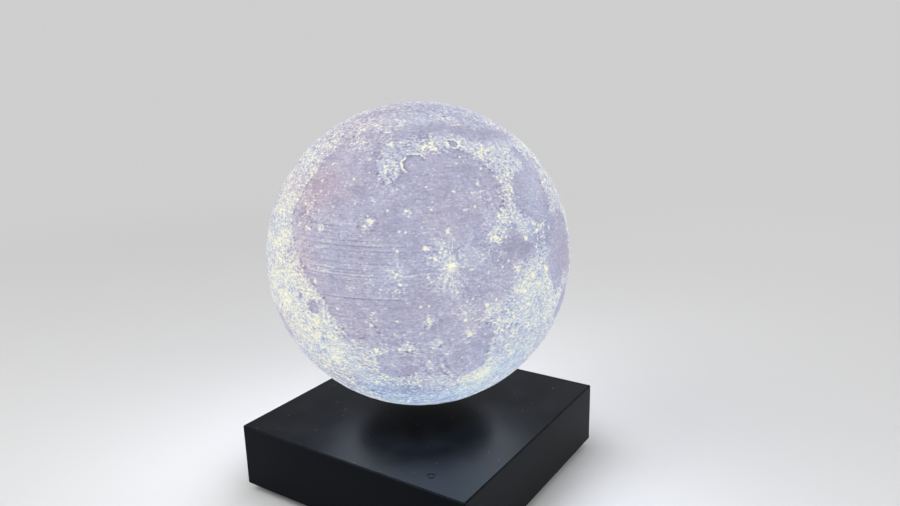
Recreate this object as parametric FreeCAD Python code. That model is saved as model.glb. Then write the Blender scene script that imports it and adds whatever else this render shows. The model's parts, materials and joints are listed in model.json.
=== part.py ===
import FreeCAD, Part
import math
import os

# Levitating moon lamp: a square black base holds a printed moon globe in the air by magnets.
# Millimetres, +Z up. The origin is on the table, under the centre of the base.
# +X runs along the front side of the base, +Y goes to its back, where the supply plug enters.

vec = FreeCAD.Vector
UP = vec(0, 0, 1)

# ---------------------------------------------------------------- driving dimensions
moon_diameter = 150.0
base_side = 132.5        # side of the square base
side_height = 33.5       # of the base's side wall, without the feet
rim_lift = 3.0           # height of the wall's lower edge above the table
float_gap = 8.0          # from the base's top to where the full sphere's lowest point would be
flat_radius = 34.5       # of the flat that cuts the bottom of the moon

# ---------------------------------------------------------------- the base's levels and walls
base_top = rim_lift + side_height
half_side = base_side / 2
wall = 5.0
panel = 3.0              # thickness of the base's top
panel_under = base_top - panel
inner_half = half_side - wall
top_chamfer = 0.6
bottom_chamfer = 1.4
corner_chamfer = 0.6     # on the four upright edges
fit_gap = 0.25           # round a plate that drops into a frame
glue_gap = 0.1           # between glued or seated pieces

touch_x = 42.4           # the touch mark near the front right corner
touch_y = -56.1
touch_groove = (1.3, 2.0)
touch_depth = 0.25

cover_thickness = 2.5
cover_low = rim_lift + 1.0
cover_high = cover_low + cover_thickness
cover_boss = 56.5        # x and y of the corner bosses
cover_boss_radius = 5.0
vent_length = 26.0
vent_width = 2.4
vent_pitch = 6.0
vent_count = 5
foot_place = 46.0
foot_radius = 6.5
foot_pad = 4.0           # height of the rubber pad, of which a part sits in the cover
foot_stem_radius = 2.2

# ---------------------------------------------------------------- the levitation module
module_radius = 58.0     # of the tray and of the yoke plate
yoke_low = 16.0
yoke_high = 18.0
magnet_ring_radii = (30.0, 50.0)
magnet_ring_high = 30.0
tray_floor = 1.5
coil_groove_radii = (32.5, 52.5)
transmitter_radii = (33.0, 52.0)
transmitter_thickness = 1.5
tray_high = panel_under - 0.2
tray_ear = 45.3          # x and y of the ears that hang the tray from the panel
tray_ear_radius = 4.5
tray_post_ring = 54.0
tray_post_radius = 3.0
electromagnet_ring = 17.0
core_radius = 4.0
bobbin_radius = 11.0
bobbin_wall = 1.0
winding_radius = 10.6
hall_board_radius = 18.0
hall_window = 11.0

# ---------------------------------------------------------------- the circuit board in the base
board_low = 9.5
board_thickness = 1.6
board_high = board_low + board_thickness
board_half = (50.0, 59.5)
standoff_ring = 44.0
jack_x = 42.0
jack_size = (9.0, 14.2, 11.0)
jack_axis_height = 6.5
jack_face = 60.2         # y of the jack's mouth, just behind the wall
jack_bore = 3.0
jack_depth = 9.5
jack_pin_radius = 1.05
jack_pin_length = 8.7
jack_pin_tip = 0.5       # how far the pin's tip lies behind the jack's face
jack_seat_radius = 0.7   # of the pin's thinner foot, which sits in the jack's body
jack_seat_depth = 3.0
plug_hole = 5.5          # radius of the hole in the wall for the plug
jack_z = board_high + jack_axis_height

# ---------------------------------------------------------------- the moon
moon_radius = moon_diameter / 2
moon_z = base_top + float_gap + moon_radius
moon_wall = 2.0
moon_inner = moon_radius - moon_wall
flat_z = moon_z - math.sqrt(moon_radius**2 - flat_radius**2)
opening_radius = 32.8
zero_meridian = -23.7    # azimuth that the moon map's zero longitude faces, in degrees
km_to_mm = moon_diameter / 3474.8

# The great plains and basins that are sunk into the globe: latitude and longitude in degrees,
# diameter in km, depth in mm.
plains = {
    "sea_of_rains": (33, -16, 1080, 0.45),
    "sea_of_serenity": (27, 18, 640, 0.40),
    "sea_of_tranquillity": (9, 31, 760, 0.40),
    "sea_of_crises": (17, 59, 430, 0.40),
    "sea_of_fertility": (-6, 52, 620, 0.35),
    "sea_of_nectar": (-15, 35, 330, 0.35),
    "sea_of_clouds": (-20, -17, 560, 0.35),
    "sea_of_moisture": (-24, -39, 400, 0.40),
    "known_sea": (-10, -23, 330, 0.30),
    "sea_of_islands": (7, -31, 420, 0.30),
    "ocean_of_storms_north": (32, -54, 760, 0.40),
    "ocean_of_storms_middle": (12, -52, 900, 0.40),
    "ocean_of_storms_south": (-7, -47, 520, 0.35),
    "eastern_basin": (-19, -93, 330, 0.35),
    "sea_of_moscow": (27, 148, 280, 0.35),
    "far_south_basin": (-45, 176, 1100, 0.45),
    "far_dark_crater": (-20, 129, 190, 0.35),
}
# The big craters: latitude, longitude, diameter in km, depth in mm.
craters = {
    "dark_oval_north": (51.6, -9.4, 104, 0.30),
    "dark_oval_west": (-5.2, -68.6, 190, 0.35),
    "ray_crater_middle": (9.6, -20.1, 96, 0.40),
    "ray_crater_south": (-43.3, -11.2, 90, 0.45),
    "walled_plain_south": (-58.4, -14.4, 230, 0.40),
    "walled_plain_centre": (-9.2, -1.8, 155, 0.35),
    "rainbow_bay": (44.1, -31.5, 240, 0.35),
    "east_terrace": (-8.9, 61.1, 130, 0.40),
    "far_north_pit": (36, -151, 160, 0.40),
}

# ---------------------------------------------------------------- the floating puck
collar_wall = (31.3, 32.7)
collar_top = flat_z + 9.1
collar_flange = 42.0
flange_thickness = 1.5
cup_radius = 29.6
cup_wall = 1.6
cup_floor = 1.6
cup_top = flat_z + 18.1
pocket_radii = (23.3, 24.5)
magnet_radius = 23.0
magnet_height = 8.0
magnet_gap = 0.3         # all round the levitation magnet
magnet_low = flat_z + cup_floor + magnet_gap
magnet_high = magnet_low + magnet_height
pocket_top = magnet_high + magnet_gap
retainer_thickness = 1.5
receiver_coil_radii = (24.8, 27.7)
receiver_coil_height = 6.0
receiver_low = flat_z + 12.6
receiver_thickness = 1.2
receiver_high = receiver_low + receiver_thickness
receiver_radius = 27.7
cup_boss_ring = 26.2
cup_boss_radius = 1.6
cup_boss_low = 8.3       # above the flat
cup_boss_angles = (30, 150, 270)

bayonet_angles = (0, 120, 240)
ledge_reach = 30.0       # inner radius of the collar's ledges
ledge_low = flat_z + 4.1
ledge_thickness = 1.6
ledge_span = 50.0
lug_radius = 31.0
lug_span = 40.0
lug_gap = 0.2
stop_span = 3.5

lid_thickness = 1.5
lid_high = cup_top + lid_thickness
post_radii = (5.0, 7.0)
post_foot = (12.0, 2.0)
post_top = 107.5
post_shelf = (17.0, 1.5)
led_board_radius = 12.0
led_board_thickness = 1.6
led_ring = 8.0
led_size = (2.8, 3.5, 0.8)
led_count = 12
diffuser_radius = 17.0
diffuser_wall = 1.5
diffuser_straight = 6.0

lead_radius = 0.65       # of an insulated lead


# ---------------------------------------------------------------- shape helpers
def disc(radius, low, high, x=0.0, y=0.0):
    return Part.makeCylinder(radius, high - low, vec(x, y, low))


def ring(inner, outer, low, high, x=0.0, y=0.0):
    return disc(outer, low, high, x, y).cut(disc(inner, low - 1, high + 1, x, y))


def block(x_low, x_high, y_low, y_high, z_low, z_high):
    return Part.makeBox(x_high - x_low, y_high - y_low, z_high - z_low, vec(x_low, y_low, z_low))


def centred_block(x, y, size_x, size_y, low, high):
    return block(x - size_x / 2, x + size_x / 2, y - size_y / 2, y + size_y / 2, low, high)


def hexagon(across_flats, low, high, x, y):
    corner = across_flats / math.sqrt(3)
    points = [
        vec(x + corner * math.cos(math.radians(a)), y + corner * math.sin(math.radians(a)), low)
        for a in range(0, 361, 60)
    ]
    return Part.Face(Part.makePolygon(points)).extrude(vec(0, 0, high - low))


def sector(inner, outer, low, high, middle, span):
    """A piece of a ring, span degrees wide, centred on the angle middle."""
    solid = Part.makeCylinder(outer, high - low, vec(0, 0, low), UP, span)
    solid = solid.cut(disc(inner, low - 1, high + 1))
    solid.rotate(vec(0, 0, 0), UP, middle - span / 2)
    return solid


def on_circle(radius, angle):
    return radius * math.cos(math.radians(angle)), radius * math.sin(math.radians(angle))


def corners(distance):
    return [(sx * distance, sy * distance) for sx in (-1, 1) for sy in (-1, 1)]


def join(shapes):
    shapes = list(shapes)
    return shapes[0].fuse(shapes[1:]).removeSplitter()


def group(shapes):
    return Part.makeCompound(list(shapes))


def screw_up(x, y, head_low, head_radius, head_height, shank_radius, length):
    """A pan-head screw driven upwards, with a cross recess in its head."""
    head = disc(head_radius, head_low, head_low + head_height, x, y)
    shank = disc(shank_radius, head_low + head_height, head_low + head_height + length, x, y)
    slot = head_radius * 1.2
    cross = centred_block(x, y, slot, head_radius * 0.25, head_low - 1, head_low + head_height * 0.5)
    other = centred_block(x, y, head_radius * 0.25, slot, head_low - 1, head_low + head_height * 0.5)
    return join([head, shank]).cut(cross).cut(other)


def screw_down(x, y, head_high, head_radius, head_height, shank_radius, length):
    solid = screw_up(x, y, 0, head_radius, head_height, shank_radius, length)
    solid.rotate(vec(x, y, 0), vec(1, 0, 0), 180)
    solid.translate(vec(0, 0, head_high))
    return solid


def lead(name, points):
    """A round lead along straight runs that tangent arcs join."""
    points = [vec(*p) for p in points]
    edges = []
    start = points[0]
    bends = []
    for before, corner, after in zip(points, points[1:], points[2:]):
        back = before - corner
        ahead = after - corner
        shorter = min(back.Length, ahead.Length)
        reach = 0.45 * shorter
        back.normalize()
        ahead.normalize()
        half_turn = (math.pi - back.getAngle(ahead)) / 2
        bend = reach / math.tan(half_turn)
        bends.append(f"{bend:.1f}")
        enter = corner + back * reach
        leave = corner + ahead * reach
        inward = back + ahead
        inward.normalize()
        crown = corner + inward * (bend / math.cos(half_turn) - bend)
        edges.append(Part.LineSegment(start, enter).toShape())
        edges.append(Part.Arc(enter, crown, leave).toShape())
        start = leave
    edges.append(Part.LineSegment(start, points[-1]).toShape())
    path = Part.Wire(edges)
    first_run = points[1] - points[0]
    section = Part.Wire([Part.makeCircle(lead_radius, points[0], first_run)])
    tube = path.makePipeShell([section], True, False)
    whole = math.pi * lead_radius**2 * path.Length
    print(f"{name}: bend radii {' '.join(bends)} mm, volume {tube.Volume / whole:.3f} of section x length")
    return tube


def on_moon(latitude, longitude, radius):
    """The point of the globe at a place of the moon map, at a distance from the globe's centre."""
    lat = math.radians(latitude)
    azimuth = math.radians(longitude + zero_meridian)
    return vec(
        radius * math.cos(lat) * math.cos(azimuth),
        radius * math.cos(lat) * math.sin(azimuth),
        moon_z + radius * math.sin(lat),
    )


def dish(latitude, longitude, diameter_km, depth):
    """The ball that sinks a round dish into the globe, of a given diameter and depth."""
    half_width = diameter_km * km_to_mm / 2
    rim_drop = moon_radius - math.sqrt(moon_radius**2 - half_width**2)
    sag = depth - rim_drop
    if abs(sag) < 0.02:
        sag = 0.02
    if sag > 0:
        ball = (half_width**2 + sag**2) / (2 * sag)
        return Part.makeSphere(ball, on_moon(latitude, longitude, moon_radius - depth + ball))
    # A dish wider than it is deep keeps the globe's own sense of curve: what lies outside a
    # flatter ball, within the dish's rim, is taken away.
    ball = (half_width**2 + sag**2) / (-2 * sag)
    kept = Part.makeSphere(ball, on_moon(latitude, longitude, moon_radius - depth - ball))
    axis = on_moon(latitude, longitude, 1) - vec(0, 0, moon_z)
    foot = on_moon(latitude, longitude, moon_radius - rim_drop - depth - 1)
    plug = Part.makeCylinder(half_width, rim_drop + depth + 3, foot, axis)
    return plug.cut(kept)


# ---------------------------------------------------------------- the base
def base_housing():
    body = block(-half_side, half_side, -half_side, half_side, rim_lift, base_top)
    top_edges = [e for e in body.Edges if e.BoundBox.ZMin > base_top - 0.01]
    body = body.makeChamfer(top_chamfer, top_edges)
    low_edges = [e for e in body.Edges if e.BoundBox.ZMax < rim_lift + 0.01]
    body = body.makeChamfer(bottom_chamfer, low_edges)
    near, far = half_side - corner_chamfer, half_side
    outline = [(far, -near), (far, near), (near, far), (-near, far), (-far, near), (-far, -near),
               (-near, -far), (near, -far), (far, -near)]
    prism = Part.Face(Part.makePolygon([vec(x, y, 0) for x, y in outline])).extrude(vec(0, 0, 60))
    body = body.common(prism)
    hollow = block(-inner_half, inner_half, -inner_half, inner_half, rim_lift - 1, panel_under)
    body = body.cut(hollow)
    cover_bosses = []
    for x, y in corners(cover_boss):
        boss = disc(cover_boss_radius, cover_high, panel_under + 1, x, y)
        cover_bosses.append(boss.common(block(-half_side + 1, half_side - 1, -half_side + 1,
                                              half_side - 1, cover_high, panel_under + 1)))
    ear_bosses = [disc(3.2, magnet_ring_high, panel_under + 1, x, y) for x, y in corners(tray_ear)]
    body = join([body] + cover_bosses + ear_bosses)
    for x, y in corners(cover_boss):
        body = body.cut(disc(1.25, cover_high - 1, cover_high + 9, x, y))
    for x, y in corners(tray_ear):
        body = body.cut(disc(0.95, magnet_ring_high - 1, panel_under + 0.5, x, y))
    plug_way = Part.makeCylinder(plug_hole, wall + 4, vec(jack_x, inner_half - 2, jack_z), vec(0, 1, 0))
    groove = ring(*touch_groove, base_top - touch_depth, base_top + 1, touch_x, touch_y)
    return body.cut(plug_way).cut(groove)


def bottom_cover():
    half = inner_half - fit_gap
    plate = block(-half, half, -half, half, cover_low, cover_high)
    for x, y in corners(cover_boss):
        plate = plate.cut(disc(1.7, cover_low - 1, cover_high + 1, x, y))
        plate = plate.cut(disc(3.2, cover_low - 1, cover_low + 1.4, x, y))
    for x, y in corners(foot_place):
        plate = plate.cut(disc(foot_stem_radius + glue_gap, cover_low - 1, cover_high + 1, x, y))
    for side in (-1, 1):
        for i in range(vent_count):
            x = (i - (vent_count - 1) / 2) * vent_pitch
            y = side * 24
            straight = centred_block(x, y, vent_width, vent_length, cover_low - 1, cover_high + 1)
            ends = [
                disc(vent_width / 2, cover_low - 1, cover_high + 1, x, y + end * vent_length / 2)
                for end in (-1, 1)
            ]
            plate = plate.cut(join([straight] + ends))
    return plate


def foot(x, y):
    pad = disc(foot_radius, 0, foot_pad, x, y)
    lower_edge = [e for e in pad.Edges if e.BoundBox.ZMax < 0.01]
    pad = pad.makeFillet(0.8, lower_edge)
    stem = disc(foot_stem_radius, foot_pad, cover_high + 0.4, x, y)
    barb = Part.makeCone(foot_stem_radius + 0.9, foot_stem_radius - 0.6, 1.6, vec(x, y, cover_high + 0.2))
    return join([pad, stem, barb])


def cover_screws():
    return group(screw_up(x, y, cover_low - 0.5, 2.8, 1.8, 1.2, 9) for x, y in corners(cover_boss))


def module_tray():
    web_low = magnet_ring_high
    web_high = web_low + tray_floor
    tray = disc(module_radius, web_low, tray_high)
    tray = tray.cut(ring(*coil_groove_radii, web_high, tray_high + 1))
    tray = tray.cut(disc(hall_board_radius + 0.3, web_high, tray_high + 1))
    tray = tray.cut(disc(hall_window, web_low - 1, tray_high + 1))
    ears = []
    for x, y in corners(tray_ear):
        ears.append(disc(tray_ear_radius, web_low - tray_floor, web_low, x, y))
        angle = math.degrees(math.atan2(y, x))
        tongue = block(49.0, math.hypot(x, y), -3.0, 3.0, web_low - tray_floor, web_low)
        tongue = tongue.cut(disc(magnet_ring_radii[1] + 0.3, 0, base_top))
        tongue.rotate(vec(0, 0, 0), UP, angle)
        ears.append(tongue)
    skirt = ring(magnet_ring_radii[1] + 0.3, module_radius, web_low - tray_floor, web_low)
    posts = [
        disc(tray_post_radius, yoke_high, web_low, *on_circle(tray_post_ring, a))
        for a in (0, 90, 180, 270)
    ]
    tray = join([tray, skirt] + ears + posts)
    for x, y in corners(tray_ear):
        tray = tray.cut(disc(3.4, web_low, tray_high + 1, x, y))
        tray = tray.cut(disc(1.3, web_low - 3, web_low + 1, x, y))
    for a in (0, 90, 180, 270):
        tray = tray.cut(disc(1.25, yoke_high - 1, yoke_high + 8, *on_circle(tray_post_ring, a)))
    return tray


def tray_screws():
    seat = magnet_ring_high - tray_floor
    return group(screw_up(x, y, seat - 1.4, 2.2, 1.4, 0.9, 4.4) for x, y in corners(tray_ear))


def transmitter_coil():
    low = magnet_ring_high + tray_floor
    coil = ring(*transmitter_radii, low, low + transmitter_thickness)
    middle = sum(transmitter_radii) / 2
    return coil.cut(ring(middle - 0.2, middle + 0.2, low + 1.1, low + transmitter_thickness + 1))


def magnet_ring():
    solid = ring(*magnet_ring_radii, yoke_high, magnet_ring_high - glue_gap)
    rims = [e for e in solid.Edges if isinstance(e.Curve, Part.Circle)]
    return solid.makeChamfer(0.8, rims)


def yoke_plate():
    plate = disc(module_radius, yoke_low, yoke_high)
    for a in (0, 90, 180, 270):
        plate = plate.cut(disc(1.7, yoke_low - 1, yoke_high + 1, *on_circle(tray_post_ring, a)))
        plate = plate.cut(disc(1.5, yoke_low - 1, yoke_high + 1, *on_circle(standoff_ring, a)))
    for a in (45, 135, 225, 315):
        stub = on_circle(electromagnet_ring, a)
        plate = plate.cut(disc(2.0, yoke_low - 1, yoke_high + 1, *stub))
    return plate.cut(disc(4.0, yoke_low - 1, yoke_high + 1))


def yoke_screws():
    return group(
        screw_up(*on_circle(tray_post_ring, a), yoke_low - 1.8, 2.6, 1.8, 1.2, 9)
        for a in (0, 90, 180, 270)
    )


def electromagnet_core(x, y):
    core = disc(core_radius, yoke_high, magnet_ring_high - 0.5, x, y)
    stub = disc(1.95, yoke_low, yoke_high, x, y)
    return join([core, stub])


def electromagnet_bobbin(x, y):
    low = yoke_high + 0.1
    high = magnet_ring_high - 0.6
    bore = core_radius + 0.1
    tube = ring(bore, bore + bobbin_wall, low, high, x, y)
    lower = ring(bore, bobbin_radius, low, low + bobbin_wall, x, y)
    upper = ring(bore, bobbin_radius, high - bobbin_wall, high, x, y)
    return join([tube, lower, upper])


def electromagnet_winding(x, y):
    low = yoke_high + 0.1 + bobbin_wall + glue_gap
    high = magnet_ring_high - 0.6 - bobbin_wall - glue_gap
    return ring(core_radius + 0.1 + bobbin_wall + glue_gap, winding_radius, low, high, x, y)


def hall_board():
    low = magnet_ring_high + tray_floor
    return disc(hall_board_radius, low, low + 1.0)


def hall_sensors():
    low = magnet_ring_high + 0.2
    high = magnet_ring_high + tray_floor
    places = ((0, 0), (6, 0), (0, 6))
    return group(centred_block(x, y, 4.0, 3.0, low, high) for x, y in places)


# ---------------------------------------------------------------- the circuit board
def main_board():
    half_x, half_y = board_half
    plate = block(-half_x, half_x, -half_y, half_y, board_low, board_high)
    for a in (0, 90, 180, 270):
        plate = plate.cut(disc(1.6, board_low - 1, board_high + 1, *on_circle(standoff_ring, a)))
    return plate


def board_standoffs():
    pieces = []
    for a in (0, 90, 180, 270):
        x, y = on_circle(standoff_ring, a)
        body = hexagon(5.5, board_high, yoke_low, x, y)
        stud = disc(1.4, yoke_low, yoke_high - 0.1, x, y)
        pieces.append(join([body, stud]).cut(disc(1.25, board_high - 1, board_high + 4, x, y)))
    return group(pieces)


def board_screws():
    return group(
        screw_up(*on_circle(standoff_ring, a), board_low - 1.6, 2.6, 1.6, 1.2, 5)
        for a in (0, 90, 180, 270)
    )


def controller_chip():
    body = centred_block(0, 0, 9, 9, board_high + 0.2, board_high + 1.6)
    legs = []
    for i in range(8):
        step = (i - 3.5) * 1.0
        legs.append(centred_block(step, 0, 0.4, 11.4, board_high, board_high + 0.5))
        legs.append(centred_block(0, step, 11.4, 0.4, board_high, board_high + 0.5))
    return join([body] + legs)


def driver_chips():
    places = ((-24, -18), (-24, 18), (24, -18), (24, 18))
    return group(centred_block(x, y, 6.2, 5.0, board_high, board_high + 1.7) for x, y in places)


def power_inductor():
    body = centred_block(22, 44, 10, 10, board_high, board_high + 4.2)
    return body.cut(ring(2.6, 4.0, board_high + 3.6, board_high + 5, 22, 44))


def board_capacitors():
    places = ((-43, 52), (-43, -52), (-32, 54))
    cans = []
    for x, y in places:
        can = disc(4.0, board_high, board_high + 10, x, y)
        groove = ring(3.7, 5.0, board_high + 1.6, board_high + 2.2, x, y)
        vent = centred_block(x, y, 5.0, 0.4, board_high + 9.8, board_high + 11)
        cans.append(can.cut(groove).cut(vent))
    return group(cans)


def board_sockets():
    places = ((30, -54, 8.0), (10, 55, 6.0), (-10, 55, 6.0))
    pieces = []
    for x, y, width in places:
        shell = centred_block(x, y, width, 5.8, board_high, board_high + 4.4)
        inside = centred_block(x, y, width - 1.4, 4.4, board_high + 1.2, board_high + 5)
        pieces.append(shell.cut(inside))
    return group(pieces)


def dc_jack_body():
    width, length, height = jack_size
    body = block(jack_x - width / 2, jack_x + width / 2, jack_face - length, jack_face,
                 board_high, board_high + height)
    nose = Part.makeCylinder(4.4, 0.8, vec(jack_x, jack_face, jack_z), vec(0, 1, 0))
    socket = Part.makeCylinder(
        jack_bore, jack_depth + 0.8, vec(jack_x, jack_face - jack_depth, jack_z), vec(0, 1, 0)
    )
    seat = Part.makeCylinder(
        jack_seat_radius, jack_seat_depth + 1,
        vec(jack_x, jack_face - jack_depth - jack_seat_depth, jack_z), vec(0, 1, 0)
    )
    return join([body, nose]).cut(socket).cut(seat)


def dc_jack_pin():
    start = jack_face - jack_depth - jack_seat_depth
    shoulder = jack_face - jack_pin_tip - jack_pin_length
    seat = Part.makeCylinder(jack_seat_radius, shoulder - start, vec(jack_x, start, jack_z), vec(0, 1, 0))
    pin = Part.makeCylinder(jack_pin_radius, jack_pin_length, vec(jack_x, shoulder, jack_z), vec(0, 1, 0))
    return join([seat, pin])


def touch_pad():
    return disc(4.5, panel_under - 0.6, panel_under - 0.1, touch_x, touch_y)


def touch_lead():
    socket_top = board_high + 1.4
    points = (
        (touch_x, touch_y, panel_under - 0.7),
        (touch_x, touch_y, panel_under - 9),
        (31.5, -54.0, board_high + 9),
        (31.5, -54.0, socket_top),
    )
    return lead("touch lead", points)


# ---------------------------------------------------------------- the floating puck
def levitation_magnet():
    solid = disc(magnet_radius, magnet_low, magnet_high)
    return solid.makeChamfer(0.6, [e for e in solid.Edges if isinstance(e.Curve, Part.Circle)])


def float_cup():
    outside = disc(cup_radius, flat_z, cup_top)
    inside = disc(cup_radius - cup_wall, flat_z + cup_floor, cup_top + 1)
    pocket = ring(*pocket_radii, flat_z + cup_floor - 0.5, pocket_top)
    lugs = []
    lug_low = ledge_low + ledge_thickness + lug_gap
    for a in bayonet_angles:
        lugs.append(sector(cup_radius - 0.5, lug_radius, lug_low, lug_low + 1.6, a, lug_span))
    bosses = []
    for a in cup_boss_angles:
        low = flat_z + cup_boss_low
        web = block(cup_boss_ring, cup_radius - 0.4, -1.0, 1.0, low, receiver_low)
        web.rotate(vec(0, 0, 0), UP, a)
        bosses.append(join([disc(cup_boss_radius, low, receiver_low, *on_circle(cup_boss_ring, a)), web]))
    cup = join([outside.cut(inside), pocket] + lugs + bosses)
    for a in cup_boss_angles:
        place = on_circle(cup_boss_ring, a)
        cup = cup.cut(disc(0.85, receiver_low - 4, receiver_low + 1, *place))
    grip = [
        centred_block(0, side * 14, 20, 2.4, flat_z - 1, flat_z + 0.7) for side in (-1, 1)
    ]
    return cup.cut(grip[0]).cut(grip[1])


def magnet_retainer():
    return disc(pocket_radii[1], pocket_top, pocket_top + retainer_thickness)


def receiver_coil():
    low = flat_z + cup_floor + glue_gap
    return ring(*receiver_coil_radii, low, low + receiver_coil_height)


def receiver_board():
    plate = disc(receiver_radius, receiver_low, receiver_high)
    for a in cup_boss_angles:
        plate = plate.cut(disc(1.1, receiver_low - 1, receiver_high + 1, *on_circle(cup_boss_ring, a)))
    return plate


def receiver_screws():
    return group(
        screw_down(*on_circle(cup_boss_ring, a), receiver_high + 1.3, 1.7, 1.3, 0.8, 4.6)
        for a in cup_boss_angles
    )


def receiver_chips():
    chips = [
        centred_block(-9, 8, 5.0, 6.2, receiver_high, receiver_high + 1.7),
        centred_block(9, -8, 5.0, 4.0, receiver_high, receiver_high + 1.5),
        centred_block(14, 9, 6.0, 6.0, receiver_high, receiver_high + 2.8),
    ]
    return group(chips)


def receiver_capacitors():
    places = ((-15, -8), (-6, -17), (4, 17))
    return group(disc(2.6, receiver_high, receiver_high + 2.8, x, y) for x, y in places)


def float_lid():
    plate = disc(cup_radius, cup_top, lid_high)
    spigot = ring(26.0, cup_radius - cup_wall - 0.2, cup_top - 1.2, cup_top)
    return join([plate, spigot]).cut(disc(post_radii[0], cup_top - 3, lid_high + 1))


def led_post():
    tube = disc(post_radii[1], lid_high, post_top)
    foot_radius_low, foot_height = post_foot
    shelf_radius, shelf_height = post_shelf
    base = Part.makeCone(foot_radius_low, post_radii[1], foot_height * 2, vec(0, 0, lid_high))
    neck = Part.makeCone(post_radii[1], shelf_radius, 6.0, vec(0, 0, post_top - shelf_height - 6.0))
    shelf = disc(shelf_radius, post_top - shelf_height, post_top)
    post = join([tube, base, neck, shelf])
    return post.cut(disc(post_radii[0], lid_high - 1, post_top + 1))


def led_board():
    plate = disc(led_board_radius, post_top, post_top + led_board_thickness)
    return plate.cut(disc(1.6, post_top - 1, post_top + led_board_thickness + 1))


def leds(first):
    pieces = []
    low = post_top + led_board_thickness
    width, length, height = led_size
    for i in range(first, led_count, 2):
        angle = 360.0 * i / led_count
        chip = centred_block(led_ring, 0, length, width, low, low + height)
        chip.rotate(vec(0, 0, 0), UP, angle)
        pieces.append(chip)
    return group(pieces)


def led_leads():
    wires = []
    for side in (-1, 1):
        points = (
            (side * 2.0, 0, receiver_high),
            (side * 2.0, 0, receiver_high + 16),
            (side * 3.2, 0.0, receiver_high + 26),
            (side * 3.2, 0.0, post_top),
        )
        wires.append(lead("light lead", points))
    return group(wires)


def led_diffuser():
    low = post_top
    middle = low + diffuser_straight

    def dome(radius):
        ball = Part.makeSphere(radius, vec(0, 0, middle))
        ball = ball.common(block(-40, 40, -40, 40, middle, middle + 40))
        return join([ball, disc(radius, low, middle)])

    return dome(diffuser_radius).cut(dome(diffuser_radius - diffuser_wall))


# ---------------------------------------------------------------- the moon
def shell_collar():
    inner, outer = collar_wall
    tube = ring(inner, outer, flat_z, collar_top)
    reach = moon_inner - glue_gap
    dome = Part.makeSphere(reach, vec(0, 0, moon_z)).cut(
        Part.makeSphere(reach - flange_thickness, vec(0, 0, moon_z))
    )
    flange = dome.common(ring(inner, collar_flange, flat_z, flat_z + 20))
    ledges = []
    for a in bayonet_angles:
        ledge_high = ledge_low + ledge_thickness
        ledges.append(sector(ledge_reach, inner + 0.5, ledge_low, ledge_high, a, ledge_span))
        stop_middle = a + ledge_span / 2 - stop_span / 2
        ledges.append(
            sector(ledge_reach, inner + 0.5, ledge_high - 0.5, ledge_high + 2.2, stop_middle, stop_span)
        )
    return join([tube, flange] + ledges)


def moon_shell():
    globe = Part.makeSphere(moon_radius, vec(0, 0, moon_z))
    for place in list(plains.values()) + list(craters.values()):
        globe = globe.cut(dish(*place))
    shell = globe.cut(Part.makeSphere(moon_inner, vec(0, 0, moon_z)))
    below = disc(60, flat_z - 20, flat_z)
    opening = disc(opening_radius, flat_z - 20, flat_z + 12)
    return shell.cut(below).cut(opening)


# ---------------------------------------------------------------- every node
def nodes():
    yield "base_housing", base_housing()
    yield "bottom_cover", bottom_cover()
    for front, y in (("front", -foot_place), ("rear", foot_place)):
        for side, x in (("left", -foot_place), ("right", foot_place)):
            yield f"foot_{front}_{side}", foot(x, y)
    yield "cover_screws", cover_screws()
    yield "module_tray", module_tray()
    yield "tray_screws", tray_screws()
    yield "transmitter_coil", transmitter_coil()
    yield "magnet_ring", magnet_ring()
    yield "yoke_plate", yoke_plate()
    yield "yoke_screws", yoke_screws()
    for number, angle in enumerate((45, 135, 225, 315), 1):
        place = on_circle(electromagnet_ring, angle)
        yield f"electromagnet_core_{number}", electromagnet_core(*place)
        yield f"electromagnet_bobbin_{number}", electromagnet_bobbin(*place)
        yield f"electromagnet_winding_{number}", electromagnet_winding(*place)
    yield "hall_board", hall_board()
    yield "hall_sensors", hall_sensors()
    yield "main_board", main_board()
    yield "board_standoffs", board_standoffs()
    yield "board_screws", board_screws()
    yield "controller_chip", controller_chip()
    yield "driver_chips", driver_chips()
    yield "power_inductor", power_inductor()
    yield "board_capacitors", board_capacitors()
    yield "board_sockets", board_sockets()
    yield "dc_jack_body", dc_jack_body()
    yield "dc_jack_pin", dc_jack_pin()
    yield "touch_pad", touch_pad()
    yield "touch_lead", touch_lead()
    yield "levitation_magnet", levitation_magnet()
    yield "float_cup", float_cup()
    yield "magnet_retainer", magnet_retainer()
    yield "receiver_coil", receiver_coil()
    yield "receiver_board", receiver_board()
    yield "receiver_screws", receiver_screws()
    yield "receiver_chips", receiver_chips()
    yield "receiver_capacitors", receiver_capacitors()
    yield "float_lid", float_lid()
    yield "led_post", led_post()
    yield "led_board", led_board()
    yield "white_leds", leds(0)
    yield "warm_leds", leds(1)
    yield "led_leads", led_leads()
    yield "led_diffuser", led_diffuser()
    yield "shell_collar", shell_collar()
    yield "moon_shell", moon_shell()


os.makedirs("parts", exist_ok=True)
for name, shape in nodes():
    if not shape.isValid():
        print("not valid:", name)
    print(f"{name:26s} solids {len(shape.Solids)}  volume {shape.Volume / 1000:9.3f} cm3")
    shape.exportStep(f"parts/{name}.step")
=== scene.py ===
import json
import math

import bpy
import numpy as np
from mathutils import Matrix, Vector, noise


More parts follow.
